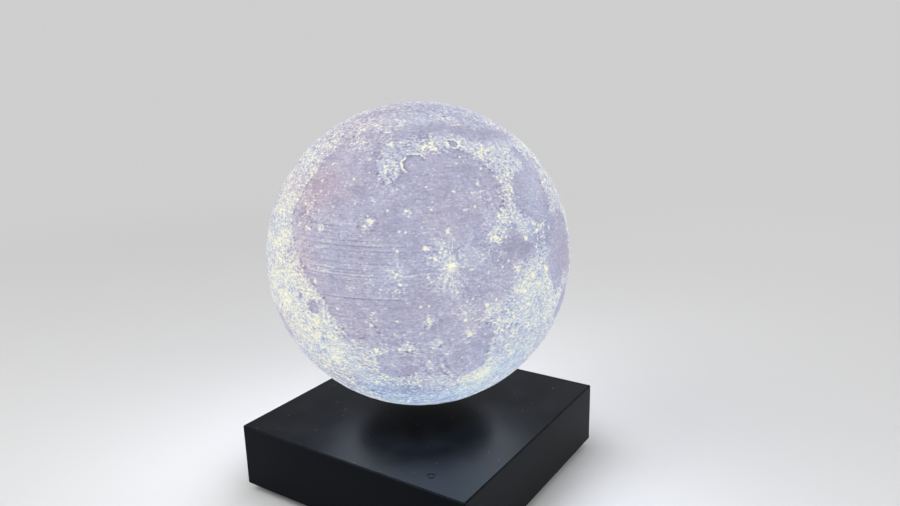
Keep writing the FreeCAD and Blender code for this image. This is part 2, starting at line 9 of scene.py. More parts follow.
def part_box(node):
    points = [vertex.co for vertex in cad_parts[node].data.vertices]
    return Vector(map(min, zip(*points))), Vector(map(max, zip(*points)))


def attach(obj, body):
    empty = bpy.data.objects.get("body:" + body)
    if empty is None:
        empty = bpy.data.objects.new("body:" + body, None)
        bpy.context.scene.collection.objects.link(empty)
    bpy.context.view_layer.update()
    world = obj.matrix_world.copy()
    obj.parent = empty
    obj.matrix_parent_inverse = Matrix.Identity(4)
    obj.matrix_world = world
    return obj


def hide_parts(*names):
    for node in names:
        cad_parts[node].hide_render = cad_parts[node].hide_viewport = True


# The looks of a levitating moon lamp: a printed globe that glows, over a satin black base.
# Metres, in the lamp's own frame: +Z up, +X along the front side of the base, +Y to its back.

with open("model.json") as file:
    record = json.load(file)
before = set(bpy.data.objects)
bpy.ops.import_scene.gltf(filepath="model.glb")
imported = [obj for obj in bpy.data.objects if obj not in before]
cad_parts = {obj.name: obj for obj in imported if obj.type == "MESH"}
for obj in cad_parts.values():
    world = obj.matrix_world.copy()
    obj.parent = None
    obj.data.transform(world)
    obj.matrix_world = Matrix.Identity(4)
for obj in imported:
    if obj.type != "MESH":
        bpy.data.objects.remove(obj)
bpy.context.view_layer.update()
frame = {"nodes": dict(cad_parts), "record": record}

MM = 0.001
GLOBE_RADIUS = 75 * MM                 # of the sphere before its relief
KM = 2 * GLOBE_RADIUS / 3474.8         # one kilometre of the Moon, on the globe

# ---------------------------------------------------------------- sizes from the frame
_, housing_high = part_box("base_housing")
shell_low, shell_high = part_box("moon_shell")
MOON_RADIUS = (shell_high.x - shell_low.x) / 2
MOON_CENTRE = Vector((0, 0, shell_high.z - GLOBE_RADIUS))
FLAT_Z = shell_low.z                   # the globe's flat bottom
OPENING_RADIUS = 32.8 * MM             # the hole in it for the puck
SHELL_WALL = 2 * MM
BASE_HALF = housing_high.x
BASE_TOP = housing_high.z

# ---------------------------------------------------------------- settings of the look
ZERO_MERIDIAN = -23.7                  # degrees from +X at which longitude 0 of the Moon stands
LAYER = 0.2 * MM                       # height of the print's layers
LAMP_GAIN = 10.0                       # how much brighter the globe lights things than it looks
PALE = 0.62                            # how bright the backdrop looks, where 1 is white
# What the globe's vertices carry to its material.
MARKS = ("rough", "glow", "shine", "spark", "veil", "hollow", "warmth", "dusk", "layered")


# ---------------------------------------------------------------- node helpers
def from_screen(part):
    """Linear light of a colour part that a screen shows as 0 to 255."""
    part /= 255
    return part / 12.92 if part < 0.04045 else ((part + 0.055) / 1.055) ** 2.4


class Net:
    """Adds nodes to one node tree and joins their sockets. Any value may be a socket or a number."""

    def __init__(self, tree):
        self.tree = tree

    def feed(self, socket, value):
        if isinstance(value, bpy.types.NodeSocket):
            self.tree.links.new(value, socket)
        elif isinstance(value, tuple) and len(value) == 3 and socket.type == "RGBA":
            socket.default_value = (*value, 1)
        else:
            socket.default_value = value

    def fill(self, node, inputs):
        for name, value in inputs.items():
            self.feed(node.inputs[name], value)

    def add(self, kind, inputs=None, **settings):
        node = self.tree.nodes.new("ShaderNode" + kind)
        for name, value in settings.items():
            setattr(node, name, value)
        self.fill(node, inputs or {})
        return node

    def use(self, group, **inputs):
        """The outputs of an effect that materials share."""
        return self.add("Group", inputs, node_tree=group).outputs

    def maths(self, operation, *values):
        return self.add("Math", dict(enumerate(values)), operation=operation).outputs[0]

    def times(self, first, second):
        return self.maths("MULTIPLY", first, second)

    def plus(self, total, value, weight):
        return self.maths("MULTIPLY_ADD", value, weight, total)

    def weigh(self, total, *terms):
        """Adds values to total, each times its weight."""
        for value, weight in terms:
            total = self.plus(total, value, weight)
        return total

    def apart(self, value, middle):
        """How far a value is from a middle, either way."""
        return self.maths("ABSOLUTE", self.maths("SUBTRACT", value, middle))

    def vector(self, operation, *values, **scale):
        node = self.add("VectorMath", dict(enumerate(values)) | scale, operation=operation)
        single = operation in ("LENGTH", "DISTANCE", "DOT_PRODUCT")
        return node.outputs["Value" if single else "Vector"]

    def split(self, vector):
        return self.add("SeparateXYZ", {"Vector": vector}).outputs

    def join(self, x, y, z):
        return self.add("CombineXYZ", {"X": x, "Y": y, "Z": z}).outputs[0]

    def mix(self, factor, first, second, blend="MIX"):
        """Of two colours."""
        inputs = {0: factor, 6: first, 7: second}
        return self.add("Mix", inputs, data_type="RGBA", blend_type=blend).outputs[2]

    def blend(self, factor, first, second):
        """Of two numbers."""
        return self.add("Mix", {0: factor, 2: first, 3: second}, data_type="FLOAT").outputs[0]

    def step(self, value, low, high, to_low=0.0, to_high=1.0):
        """A smooth step of value from to_low at low to to_high at high."""
        inputs = {"Value": value, "From Min": low, "From Max": high, "To Min": to_low, "To Max": to_high}
        return self.add("MapRange", inputs, interpolation_type="SMOOTHSTEP").outputs[0]

    def grain(self, place, scale, detail=2.0, roughness=0.5, distortion=0.0):
        """Noise of 0 to 1 over a place vector."""
        inputs = {"Vector": place, "Scale": scale, "Detail": detail, "Roughness": roughness}
        return self.add("TexNoise", inputs | {"Distortion": distortion}).outputs["Fac"]

    def swing(self, *looks):
        """The same noise, of -0.5 to 0.5."""
        return self.maths("SUBTRACT", self.grain(*looks), 0.5)

    def level_lines(self, height, scale, detail):
        """Noise of 0 to 1 that changes with height alone."""
        inputs = {"W": height, "Scale": scale, "Detail": detail, "Roughness": 0.6}
        return self.add("TexNoise", inputs, noise_dimensions="1D").outputs["Fac"]

    def cells(self, place, scale):
        """How far a place is from the middle of its random cell, and three random numbers of the cell."""
        node = self.add("TexVoronoi", {"Vector": place, "Scale": scale, "Randomness": 1.0})
        lot = self.add("SeparateColor", {"Color": node.outputs["Color"]}).outputs
        return node.outputs["Distance"], lot

    def place(self):
        return self.add("TexCoord").outputs["Object"]

    def attribute(self, name):
        return self.add("Attribute", attribute_name=name).outputs["Fac"]

    def ramp(self, value, stops):
        """Colours at rising values of 0 to 1, each given as a screen shows it, from 0 to 255."""
        node = self.add("ValToRGB", {"Fac": value})
        points = node.color_ramp.elements
        for at, _ in stops[1:-1]:
            points.new(at)
        for point, (at, colour) in zip(points, stops):
            point.position = at
            point.color = (*(from_screen(part) for part in colour), 1)
        return node.outputs["Color"]

    def bump(self, height, distance, strength=1.0):
        return self.add("Bump", {"Height": height, "Distance": distance, "Strength": strength}).outputs[0]

    def seen_directly(self):
        """1 for the camera, and for what a mirror or clear glass shows it; 0 for all other light."""
        path = self.add("LightPath").outputs
        seen = self.maths("MAXIMUM", path["Is Camera Ray"], path["Is Glossy Ray"])
        return self.maths("MAXIMUM", seen, path["Is Transmission Ray"])


def new_material(name):
    """A material with one Principled shader, its net, and the shader."""
    material = bpy.data.materials.new(name)
    material.use_nodes = True
    material.node_tree.nodes.clear()
    net = Net(material.node_tree)
    shader = net.add("BsdfPrincipled")
    net.add("OutputMaterial", {"Surface": shader.outputs[0]})
    return material, net, shader


def effect(*numbers, vectors=()):
    """Turns a function into a node group with these inputs.

    The function gets the group's net and inputs, and returns its outputs by name, all of them numbers.
    """
    def build(work):
        group = bpy.data.node_groups.new(work.__name__, "ShaderNodeTree")
        kinds = dict.fromkeys(vectors, "NodeSocketVector") | dict.fromkeys(numbers, "NodeSocketFloat")
        for label, kind in kinds.items():
            group.interface.new_socket(label, in_out="INPUT", socket_type=kind)
        net = Net(group)
        outputs = work(net, group.nodes.new("NodeGroupInput").outputs)
        for label in outputs:
            group.interface.new_socket(label, in_out="OUTPUT", socket_type="NodeSocketFloat")
        net.fill(group.nodes.new("NodeGroupOutput"), outputs)
        return group
    return build


# ---------------------------------------------------------------- effects that materials share
@effect("Grain", "Patch")
def moulded_skin(net, given):
    """The fine spark-eroded grain of moulded plastic, and slow unevenness of its shade."""
    place = net.place()
    return {
        "Height": net.grain(place, given["Grain"], 2.0, 0.6),
        "Shade": net.grain(place, given["Patch"], 3.0, 0.55),
    }


@effect("Specks")
def settled_dust(net, given):
    """Where dust and lint lie: on faces that look up, in specks and a thin uneven film."""
    place = net.place()
    upward = net.step(net.split(net.add("NewGeometry").outputs["Normal"])["Z"], 0.5, 0.95)
    away, lot = net.cells(place, given["Specks"])
    chosen = net.maths("GREATER_THAN", lot["Red"], 0.975)
    speck = net.times(net.step(away, 0.20, 0.12), chosen)
    film = net.step(net.grain(place, 60.0, 4.0, 0.6), 0.35, 0.75)
    return {"Speck": net.times(speck, upward), "Film": net.times(film, upward)}


@effect()
def fine_scratches(net, _):
    """Hair-fine wiping marks that run in two loose directions."""
    place = net.place()
    lengthwise, crosswise = 30.0, 2600.0        # how often the noise changes in a metre
    marks = 0.0
    for turn, offset in ((0.35, 0.0), (-1.1, 7.3)):
        turned = net.add("Mapping", {"Vector": place, "Rotation": (0, 0, turn), "Location": (offset, 0, 0)})
        parts = net.split(turned.outputs[0])
        along, level = (net.times(parts[axis], lengthwise) for axis in "XZ")
        bowed = net.plus(net.times(parts["Y"], crosswise), net.grain(place, 9.0, 1.0), 60.0)
        lines = net.step(net.grain(net.join(along, bowed, level), 1.0, 1.0, 0.4), 0.70, 0.78)
        marks = net.maths("MAXIMUM", marks, lines)
    return {"Scratch": marks}


@effect("Fineness")
def turned_metal(net, given):
    """Fine tool lines round or along a metal part, and patches of tarnish."""
    place = net.place()
    stretched = net.vector("MULTIPLY", place, (0.06, 1.0, 1.0))
    return {
        "Lines": net.grain(stretched, given["Fineness"], 2.0, 0.6),
        "Stain": net.step(net.grain(place, 160.0, 4.0, 0.6), 0.40, 0.75),
    }


@effect()
def printed_layers(net, _):
    """The level lines of a part printed in thin layers, with a few coarse lines among them."""
    height = net.split(net.place())["Z"]
    wave = net.maths("SINE", net.times(height, math.tau / LAYER))
    return {
        "Height": net.plus(0.5, wave, 0.5),
        "Coarse": net.step(net.level_lines(height, 620.0, 2.0), 0.60, 0.72),
    }


@effect("Scale", "Share", "Seed", vectors=("Place",))
def crater_speckle(net, given):
    """Small craters: in each cell of a random size, a broken raised rim round a sunk floor."""
    scale = given["Scale"]
    shifted = net.vector("ADD", given["Place"], given["Seed"])
    warp = net.add("TexNoise", {"Vector": shifted, "Scale": scale, "Detail": 1.0}).outputs["Color"]
    bent = net.vector("SUBTRACT", warp, (0.5, 0.5, 0.5))
    nudge = net.vector("SCALE", bent, Scale=net.maths("DIVIDE", 0.55, scale))
    distance, lot = net.cells(net.vector("ADD", shifted, nudge), scale)
    away = net.maths("DIVIDE", distance, net.step(lot["Red"], 0.0, 1.0, 0.16, 0.46))
    rim = net.step(net.apart(away, 1.0), 0.34, 0.0)
    whole = net.step(net.grain(shifted, net.times(scale, 1.3), 1.0), 0.36, 0.56)
    relief = net.maths("SUBTRACT", net.times(rim, whole), net.step(away, 0.95, 0.55))
    return {"Height": net.times(relief, net.maths("LESS_THAN", lot["Green"], given["Share"]))}


@effect("Radius", "Wobble", vectors=("Outward", "Centre"))
def printed_ring(net, given):
    """A ring wall on the globe: its pale crest, and the dark line at its foot."""
    distance = net.vector("DISTANCE", given["Outward"], given["Centre"])
    away = net.plus(given["Wobble"], distance, MOON_RADIUS / MM)
    away = net.maths("SUBTRACT", away, given["Radius"])
    return {
        "Crest": net.step(net.apart(away, 0.45), 0.75, 0.20),
        "Foot": net.step(net.apart(away, -0.35), 0.55, 0.15),
    }


@effect("Reach", "Count", vectors=("Outward", "Centre"))
def printed_rays(net, given):
    """Hair-fine streaks that run out from a young crater and fade with distance."""
    apart = net.vector("SUBTRACT", given["Outward"], given["Centre"])
    fan = net.vector("SCALE", net.vector("NORMALIZE", apart), Scale=given["Count"])
    fan = net.vector("MULTIPLY_ADD", given["Outward"], (9.0, 9.0, 9.0), fan)
    streak = net.step(net.grain(fan, 1.0, 2.0, 0.55), 0.50, 0.74)
    fade = net.step(net.maths("DIVIDE", net.vector("LENGTH", apart), given["Reach"]), 1.0, 0.15)
    return {"Streak": net.times(streak, fade)}


# ---------------------------------------------------------------- the materials of the base
def satin_lacquer():
    """The base's case: satin black, with dust, wiping marks and edges a little paler and browner, partly
    from rubbing and partly as a painted highlight.
    """
    material, net, shader = new_material("satin_lacquer")
    place = net.place()
    skin = net.use(moulded_skin, Grain=2600.0, Patch=26.0)
    dust = net.use(settled_dust, Specks=520.0)
    scratch = net.use(fine_scratches)["Scratch"]
    parts = net.split(place)
    wide_x, wide_y = (net.maths("ABSOLUTE", parts[axis]) for axis in "XY")
    faces = ((wide_x, BASE_HALF), (wide_y, BASE_HALF), (parts["Z"], BASE_TOP))
    at_x, at_y, at_top = (net.step(value, face - 0.75 * MM, face - 0.1 * MM) for value, face in faces)
    rims = net.times(net.maths("MAXIMUM", at_x, at_y), at_top)
    edge = net.maths("MAXIMUM", rims, net.times(at_x, at_y))
    # The edges' paler brown is partly wear and partly a painted highlight along them.
    worn_and_highlit_edge = net.times(edge, net.step(net.grain(place, 320.0, 4.0, 0.65), 0.38, 0.62))
    # The black's slight blue and the blue specular tint are painted light: the blue of the room's light in
    # the top's reflections.
    black = net.mix(skin["Shade"], (0.0014, 0.0018, 0.0026), (0.0028, 0.0032, 0.0044))
    black = net.mix(net.times(worn_and_highlit_edge, 0.6), black, (0.022, 0.019, 0.017))
    black = net.mix(net.times(dust["Film"], 0.012), black, (0.26, 0.28, 0.32))
    black = net.mix(net.times(dust["Speck"], 0.22), black, (0.34, 0.33, 0.31))
    rough = net.blend(skin["Shade"], 0.30, 0.37)
    rough = net.weigh(rough, (scratch, 0.05), (dust["Film"], 0.06), (worn_and_highlit_edge, 0.10))
    height = net.plus(skin["Height"], scratch, -0.35)
    net.fill(shader, {
        "Base Color": black, "Roughness": rough, "Normal": net.bump(height, 0.012 * MM, 0.6),
        "IOR": 1.14, "Specular Tint": (0.55, 0.78, 1.0),
    })
    return material


def plastic(name, colour, other, rough, grain, depth, speck):
    """Moulded plastic that varies between two shades, with grain and a little dust."""
    material, net, shader = new_material(name)
    skin = net.use(moulded_skin, Grain=grain, Patch=55.0)
    dust = net.use(settled_dust, Specks=700.0)
    shade = net.mix(skin["Shade"], colour, other)
    net.fill(shader, {
        "Base Color": net.mix(net.times(dust["Speck"], speck), shade, (0.4, 0.39, 0.37)),
        "Roughness": net.blend(skin["Height"], rough - 0.06, rough + 0.08),
        "Normal": net.bump(skin["Height"], depth * MM, 0.7),
        "IOR": 1.46,
    })
    return material


# Two shades, roughness, how fine the grain is, its depth in mm, and how much the dust shows.
PLASTICS = {
    "cover_black": ((0.014, 0.014, 0.015), (0.024, 0.023, 0.023), 0.62, 1500.0, 0.05, 0.15),
    "foot_rubber": ((0.012, 0.012, 0.012), (0.030, 0.029, 0.027), 0.85, 1900.0, 0.05, 0.4),
    "tray_plastic": ((0.060, 0.064, 0.070), (0.085, 0.088, 0.092), 0.5, 2400.0, 0.02, 0.15),
    "bobbin_plastic": ((0.52, 0.49, 0.40), (0.62, 0.59, 0.50), 0.45, 2400.0, 0.02, 0.15),
    "chip_black": ((0.016, 0.016, 0.017), (0.026, 0.026, 0.027), 0.6, 5200.0, 0.02, 0.15),
    "socket_plastic": ((0.010, 0.010, 0.011), (0.018, 0.018, 0.019), 0.33, 3600.0, 0.01, 0.15),
    "lead_insulation": ((0.36, 0.020, 0.014), (0.50, 0.035, 0.022), 0.4, 2600.0, 0.01, 0.15),
    "board_white": ((0.70, 0.70, 0.68), (0.80, 0.80, 0.78), 0.35, 3200.0, 0.01, 0.15),
}


def metal(name, colour, stain, rough, metallic, fineness, depth):
    """Worked metal with tool lines and patches of tarnish or old oil."""
    material, net, shader = new_material(name)
    lines = net.use(turned_metal, Fineness=fineness)
    shade = net.mix(net.times(lines["Stain"], 0.55), colour, stain)
    wear = net.blend(lines["Lines"], rough - 0.08, rough + 0.10)
    net.fill(shader, {
        "Base Color": shade,
        "Roughness": net.plus(wear, lines["Stain"], 0.10),
        "Normal": net.bump(lines["Lines"], depth * MM, 0.8),
        "Metallic": metallic,
    })
    return material


# Colour, colour of the stains, roughness, how metallic, how fine the tool lines are, and their depth in mm.
METALS = {
    "screw_steel": ((0.47, 0.47, 0.48), (0.28, 0.27, 0.25), 0.34, 1.0, 4000.0, 0.006),
    "yoke_iron": ((0.42, 0.42, 0.43), (0.25, 0.21, 0.17), 0.45, 1.0, 4000.0, 0.006),
    "copper_wire": ((0.70, 0.30, 0.15), (0.42, 0.16, 0.08), 0.35, 1.0, 5200.0, 0.03),
    "magnet_nickel": ((0.62, 0.61, 0.58), (0.48, 0.46, 0.42), 0.18, 1.0, 2200.0, 0.002),
    "ring_ferrite": ((0.050, 0.050, 0.054), (0.085, 0.075, 0.068), 0.62, 0.2, 900.0, 0.02),
    "standoff_brass": ((0.72, 0.53, 0.25), (0.45, 0.30, 0.14), 0.30, 1.0, 4000.0, 0.006),
    "capacitor_can": ((0.56, 0.57, 0.59), (0.40, 0.41, 0.43), 0.30, 0.9, 3000.0, 0.006),
}


def board_green():
    """A lacquered circuit board, with copper tracks that show through as paler lines."""
    material, net, shader = new_material("board_green")
    inputs = {"Vector": net.place(), "Scale": 190.0, "Randomness": 0.35}
    cells = net.add("TexVoronoi", inputs, distance="CHEBYCHEV").outputs["Distance"]
    tracks = net.step(net.apart(cells, 0.42), 0.05, 0.03)
    skin = net.use(moulded_skin, Grain=4200.0, Patch=70.0)
    green = net.mix(skin["Shade"], (0.012, 0.095, 0.040), (0.020, 0.125, 0.055))
    net.fill(shader, {
        "Base Color": net.mix(net.times(tracks, 0.6), green, (0.050, 0.190, 0.070)),
        "Roughness": net.blend(tracks, 0.30, 0.24),
        "Normal": net.bump(tracks, 0.03 * MM),
    })
    return material


# ---------------------------------------------------------------- the materials inside the moon
def puck_plastic():
    """White printed plastic of the puck and its collar, with layer lines."""
    material, net, shader = new_material("puck_plastic")
    skin = net.use(moulded_skin, Grain=1800.0, Patch=48.0)
    layers = net.use(printed_layers)
    white = net.mix(skin["Shade"], (0.60, 0.59, 0.56), (0.70, 0.69, 0.66))
    net.fill(shader, {
        "Base Color": net.mix(net.times(layers["Coarse"], 0.25), white, (0.50, 0.49, 0.47)),
        "Roughness": net.blend(skin["Height"], 0.42, 0.56),
        "Normal": net.bump(layers["Height"], 0.02 * MM, 0.6),
    })
    return material


def diffuser_milk():
    """The opal dome over the light."""
    material, net, shader = new_material("diffuser_milk")
    skin = net.use(moulded_skin, Grain=1500.0, Patch=40.0)
    milk = net.mix(skin["Shade"], (0.82, 0.80, 0.74), (0.88, 0.86, 0.81))
    net.fill(shader, {
        "Base Color": milk, "Emission Color": milk, "Emission Strength": 0.8,
        "Roughness": net.blend(skin["Height"], 0.38, 0.5),
    })
    return material


def led(name, phosphor, light):
    """A light chip: a phosphor window in a white frame."""
    material, net, shader = new_material(name)
    skin = net.use(moulded_skin, Grain=3000.0, Patch=500.0)
    net.fill(shader, {
        "Base Color": net.mix(skin["Shade"], phosphor, (0.86, 0.85, 0.82)),
        "Emission Color": light, "Emission Strength": 0.9,
        "Roughness": net.blend(skin["Height"], 0.2, 0.35),
    })
    return material


# The colour of the phosphor, and of the light.
LEDS = {
    "led_white": ((0.86, 0.80, 0.42), (0.95, 0.96, 1.0)),
    "led_warm": ((0.85, 0.58, 0.20), (1.0, 0.78, 0.48)),
}


# ---------------------------------------------------------------- the print of the globe
# Places are latitude and longitude in degrees, north and east positive.

# How the print looks, from the foot of a wall to its brightest crater.
TONES = (
    (-0.4, (116, 112, 116)), (-0.15, (140, 143, 158)), (0.0, (156, 160, 179)), (0.1, (167, 169, 189)),
    (0.3, (186, 189, 206)), (0.5, (202, 209, 217)), (0.7, (220, 227, 221)), (0.85, (239, 239, 220)),
    (1.0, (255, 248, 218)),
)
# The coarse level lines of the print: height over the globe's middle in mm, and how pale or dark.
PRINT_LINES = (
    (0.35, 0.9), (-0.25, -1.0), (19.8, 0.7), (19.2, -1.2), (22.0, 0.6), (21.2, -1.0), (23.1, -0.6),
    (9.6, 0.9), (10.4, -0.5), (8.8, -0.35), (-9.8, 0.6), (-10.8, -0.5), (-8.8, -0.5), (-18.0, -0.8),
    (-19.4, 0.7), (28.6, -0.7), (29.8, 0.4), (16.9, -0.6), (12.1, 0.5), (11.6, -0.8), (14.3, -0.7),
    (7.2, -0.6), (-21.8, -0.6), (5.8, -0.4),
)
# Ring walls that stand out on the print: place, radius in mm, how pale the crest is, how dark the foot
# is, and the way that a bay opens, as a compass bearing.
PRINT_RINGS = (
    (44.6, -31.4, 4.8, 0.38, 0.30, 140), (51.9, -10.3, 2.2, 0.34, 0.30, None),
    (30.8, -4.7, 2.1, 0.22, 0.08, None), (31.3, 0.9, 1.1, 0.22, 0.06, None),
    (22.3, -72.3, 2.3, 0.18, 0.14, None), (21.3, -66.6, 0.9, 0.30, 0.05, None),
    (-5.5, -68.6, 3.1, 0.02, 0.20, None), (-9.2, -2.4, 2.6, 0.10, 0.04, None),
    (27.3, -34.4, 0.9, 0.22, 0.05, None),
)
# Young craters with fine streaks round them: place, reach and number of the streaks, brightness.
PRINT_RAYS = (
    (9.6, -20.1, 0.34, 10.0, 0.42), (8.1, -38.0, 0.20, 6.0, 0.26), (-43.3, -11.2, 0.55, 8.0, 0.24),
)


def towards(latitude, longitude):
    """Direction from the globe's middle to a place, with longitude 0 at +X."""
    lat, lon = math.radians(latitude), math.radians(longitude)
    return np.array([math.cos(lat) * math.cos(lon), math.cos(lat) * math.sin(lon), math.sin(lat)])


def facing(latitude, longitude):
    """Direction to a place on the globe as it stands in the lamp's frame."""
    return Vector(towards(latitude, longitude + ZERO_MERIDIAN).tolist())


def young_dots(net, level, fine):
    """Young craters on the plains: pale dots of many sizes, with ragged rims."""
    dots = 0.0
    for scale, share, seed in ((190.0, 0.50, 0.0), (330.0, 0.50, 0.27), (520.0, 0.35, 0.61)):
        distance, lot = net.cells(net.vector("ADD", level, (seed, seed, seed)), scale)
        away = net.maths("DIVIDE", distance, net.step(lot["Red"], 0.0, 1.0, 0.07, 0.17))
        dot = net.step(net.plus(away, fine, 2.0), 1.15, 0.35)
        dot = net.times(dot, net.maths("LESS_THAN", lot["Green"], share))
        dot = net.times(dot, net.step(lot["Blue"], 0.0, 1.0, 0.25, 0.80))
        dots = net.maths("MAXIMUM", dots, dot)
    return dots


def coarse_lines(net, up):
    """The pale and dark lines of PRINT_LINES."""
    lines = 0.0
    for height, amount in PRINT_LINES:
        lines = net.plus(lines, net.step(net.apart(up, height * MM), 0.40 * MM, 0.10 * MM), amount)
    return lines


def ring_walls(net, outward, wobble, speckle):
    """The ring walls of PRINT_RINGS: pale crests over dark feet."""
    walls = 0.0
    for latitude, longitude, radius, pale, dark, opening in PRINT_RINGS:
        centre = facing(latitude, longitude)
        ring = net.use(printed_ring, Outward=outward, Centre=centre, Radius=radius, Wobble=wobble)
        wall = net.times(ring["Crest"], net.plus(pale, speckle, 0.12))
        wall = net.plus(wall, ring["Foot"], -dark)
        if opening is not None:
            bearing = math.radians(opening)
            east = Vector((0, 0, 1)).cross(centre).normalized()
            way = facing(latitude + 90, longitude) * math.cos(bearing) + east * math.sin(bearing)
            reach = radius * MM / MOON_RADIUS
            side = net.vector("DOT_PRODUCT", outward, way)
            wall = net.times(wall, net.step(side, 0.35 * reach, -0.05 * reach))
        walls = net.maths("ADD", walls, wall)
    return walls


def ray_fans(net, outward, speckle):
    """The streaks of PRINT_RAYS."""
    fans = 0.0
    for latitude, longitude, reach, count, bright in PRINT_RAYS:
        centre = facing(latitude, longitude)
        fan = net.use(printed_rays, Outward=outward, Centre=centre, Reach=reach, Count=count)
        fans = net.maths("MAXIMUM", fans, net.times(fan["Streak"], bright))
    return net.times(fans, net.plus(1.0, speckle, 0.25))


def tone_colour(net, tone, warmth):
    """The colour of a tone: that of TONES, with painted room light making it warmer or colder except where
    it is bright.
    """
    darkest = TONES[0][0]
    along = net.maths("DIVIDE", net.maths("SUBTRACT", tone, darkest), 1 - darkest)
    shade = net.ramp(along, [((at - darkest) / (1 - darkest), colour) for at, colour in TONES])
    # Painted light: the warm and cold light of the room, tinted into the colour.
    tint = net.mix(warmth, (0.85, 1.0, 1.17), (1.135, 0.945, 0.92))
    amount = net.step(tone, 0.40, 0.85, 1.0, net.step(warmth, 0.45, 0.05, 0.0, 0.6))
    return net.mix(amount, shade, net.mix(1.0, shade, tint, "MULTIPLY"))


def moon_print():
    """The globe: lavender plains, speckled highlands, bright rays, and the light behind them."""
    material, net, shader = new_material("moon_print")
    centred = net.vector("SUBTRACT", net.place(), MOON_CENTRE)
    outward = net.vector("NORMALIZE", centred)
    rough, glow, shine, spark, veil, hollow, warmth, dusk, layered = map(net.attribute, MARKS)

    # The speckle, of about unit strength. The print's level layers draw it out sideways, so its height
    # is compressed.
    level = net.vector("MULTIPLY", centred, (1.0, 1.0, 1.75))
    fine = net.swing(level, 700.0, 1.0, 0.5, 0.25)
    middle = net.swing(level, 260.0, 2.0, 0.5, 0.3)
    broad = net.swing(level, 80.0, 4.0, 0.55)
    large = net.use(crater_speckle, Place=level, Scale=230.0, Share=0.5, Seed=0.31)
    small = net.use(crater_speckle, Place=level, Scale=430.0, Share=0.6, Seed=1.7)
    pits = net.maths("ADD", large["Height"], small["Height"])
    veins = net.apart(net.grain(level, 330.0, 2.0, 0.55, 0.7), 0.5)
    veins = net.step(veins, 0.060, 0.005, -0.35, 0.95)
    speckle = net.weigh(0.0, (fine, 6.6), (middle, 2.6), (veins, 1.25), (broad, 4.0), (pits, 1.30))
    over = net.maths("SUBTRACT", speckle, net.plus(1.85, rough, -1.25))
    flecks = net.step(over, -0.10, 1.10)
    under = net.step(net.maths("ADD", speckle, net.blend(rough, 1.6, 1.0)), 0.0, -1.1)

    # The plains: faint level streaks, thin wrinkles, and young craters.
    sweep = net.vector("MULTIPLY", centred, (1.0, 1.0, 6.0))
    streak = net.swing(sweep, 220.0, 3.0, 0.65)
    wrinkle = net.step(net.apart(net.grain(level, 120.0, 3.0, 0.6, 0.8), 0.5), 0.018, 0.004)
    wrinkle = net.times(wrinkle, net.step(net.grain(centred, 70.0, 2.0), 0.38, 0.58))
    dots = young_dots(net, level, fine)

    # The print's level lines over the western plains: many faint ones, and a few coarse ones.
    up = net.split(centred)["Z"]
    faint = net.maths("SUBTRACT", net.level_lines(up, 1600.0, 1.0), 0.5)
    spread_out = net.vector("MULTIPLY", centred, (1.0, 1.0, 3.0))
    broken = net.step(net.grain(spread_out, 38.0, 2.0), 0.34, 0.52, 0.15, 1.0)
    broken = net.times(broken, layered)
    coarse = net.times(coarse_lines(net, up), broken)

    # All of them add up to one brightness.
    calm = net.step(rough, 0.10, 0.60, 1.0, 0.25)
    tone = net.weigh(
        glow,
        (fine, net.blend(rough, 0.40, 1.45)),
        (middle, net.blend(rough, 0.12, 0.52)),
        (broad, net.blend(rough, 0.28, 0.42)),
        (flecks, net.step(rough, 0.0, 0.8, 0.30, 0.47)),
        (under, net.blend(rough, -0.06, -0.26)),
        (net.times(streak, calm), 0.50),
        (net.times(wrinkle, calm), 0.19),
        (veil, net.plus(0.30, speckle, 0.12)),
    )
    tone = net.maths("MAXIMUM", tone, net.times(dots, net.step(rough, 0.6, 0.2)))
    crisp = net.step(net.plus(shine, speckle, 0.16), 0.30, 0.85)
    sharp = net.step(net.plus(spark, fine, 0.6), 0.16, 0.48)
    wobble = net.plus(net.times(fine, 1.2), middle, 2.2)
    tone = net.weigh(
        tone,
        (crisp, net.plus(0.20, shine, 0.40)),
        (sharp, net.plus(0.30, spark, 0.45)),
        (hollow, net.plus(-0.28, speckle, 0.06)),
        (dusk, -0.17),
        (net.times(faint, broken), 0.28),
        (coarse, 0.19),
        (ring_walls(net, outward, wobble, speckle), 1.0),
        (ray_fans(net, outward, speckle), 1.0),
    )
    shade = tone_colour(net, tone, warmth)

    # The puck under the light shades the rim of the opening. The globe is far brighter than a picture can
    # show, so what it lights and what mirrors it see it LAMP_GAIN times as bright as the camera does.
    toward_top = net.split(outward)["Z"]
    lit = net.step(toward_top, -0.887, -0.860, 0.05, 1.0)
    # Painted light: the light is made up to a tenth brighter low on the globe, where less studio light
    # reaches.
    lit = net.times(lit, net.step(toward_top, -0.45, -0.85, 1.0, 1.10))
    seen = net.add("LightPath").outputs["Is Camera Ray"]
    lit = net.times(lit, net.blend(seen, LAMP_GAIN, 1.0))

    height = net.times(speckle, net.step(rough, 0.0, 0.7, 0.02, 0.12))
    layers = net.use(printed_layers)["Height"]
    height = net.weigh(height, (dots, 0.25), (coarse, 0.15), (layers, 0.02))
    net.fill(shader, {
        "Base Color": net.mix(1.0, shade, (0.22, 0.22, 0.22), "MULTIPLY"),
        "Emission Color": net.mix(1.0, shade, net.join(lit, lit, lit), "MULTIPLY"),
        "Emission Strength": 0.76,
        "Roughness": 0.62,
        "IOR": 1.33,
        "Sheen Weight": 0.10,
        "Sheen Roughness": 0.12,
        "Sheen Tint": (0.95, 0.72, 0.92),
        "Normal": net.bump(height, 0.5 * MM, 0.8),
    })
    return material


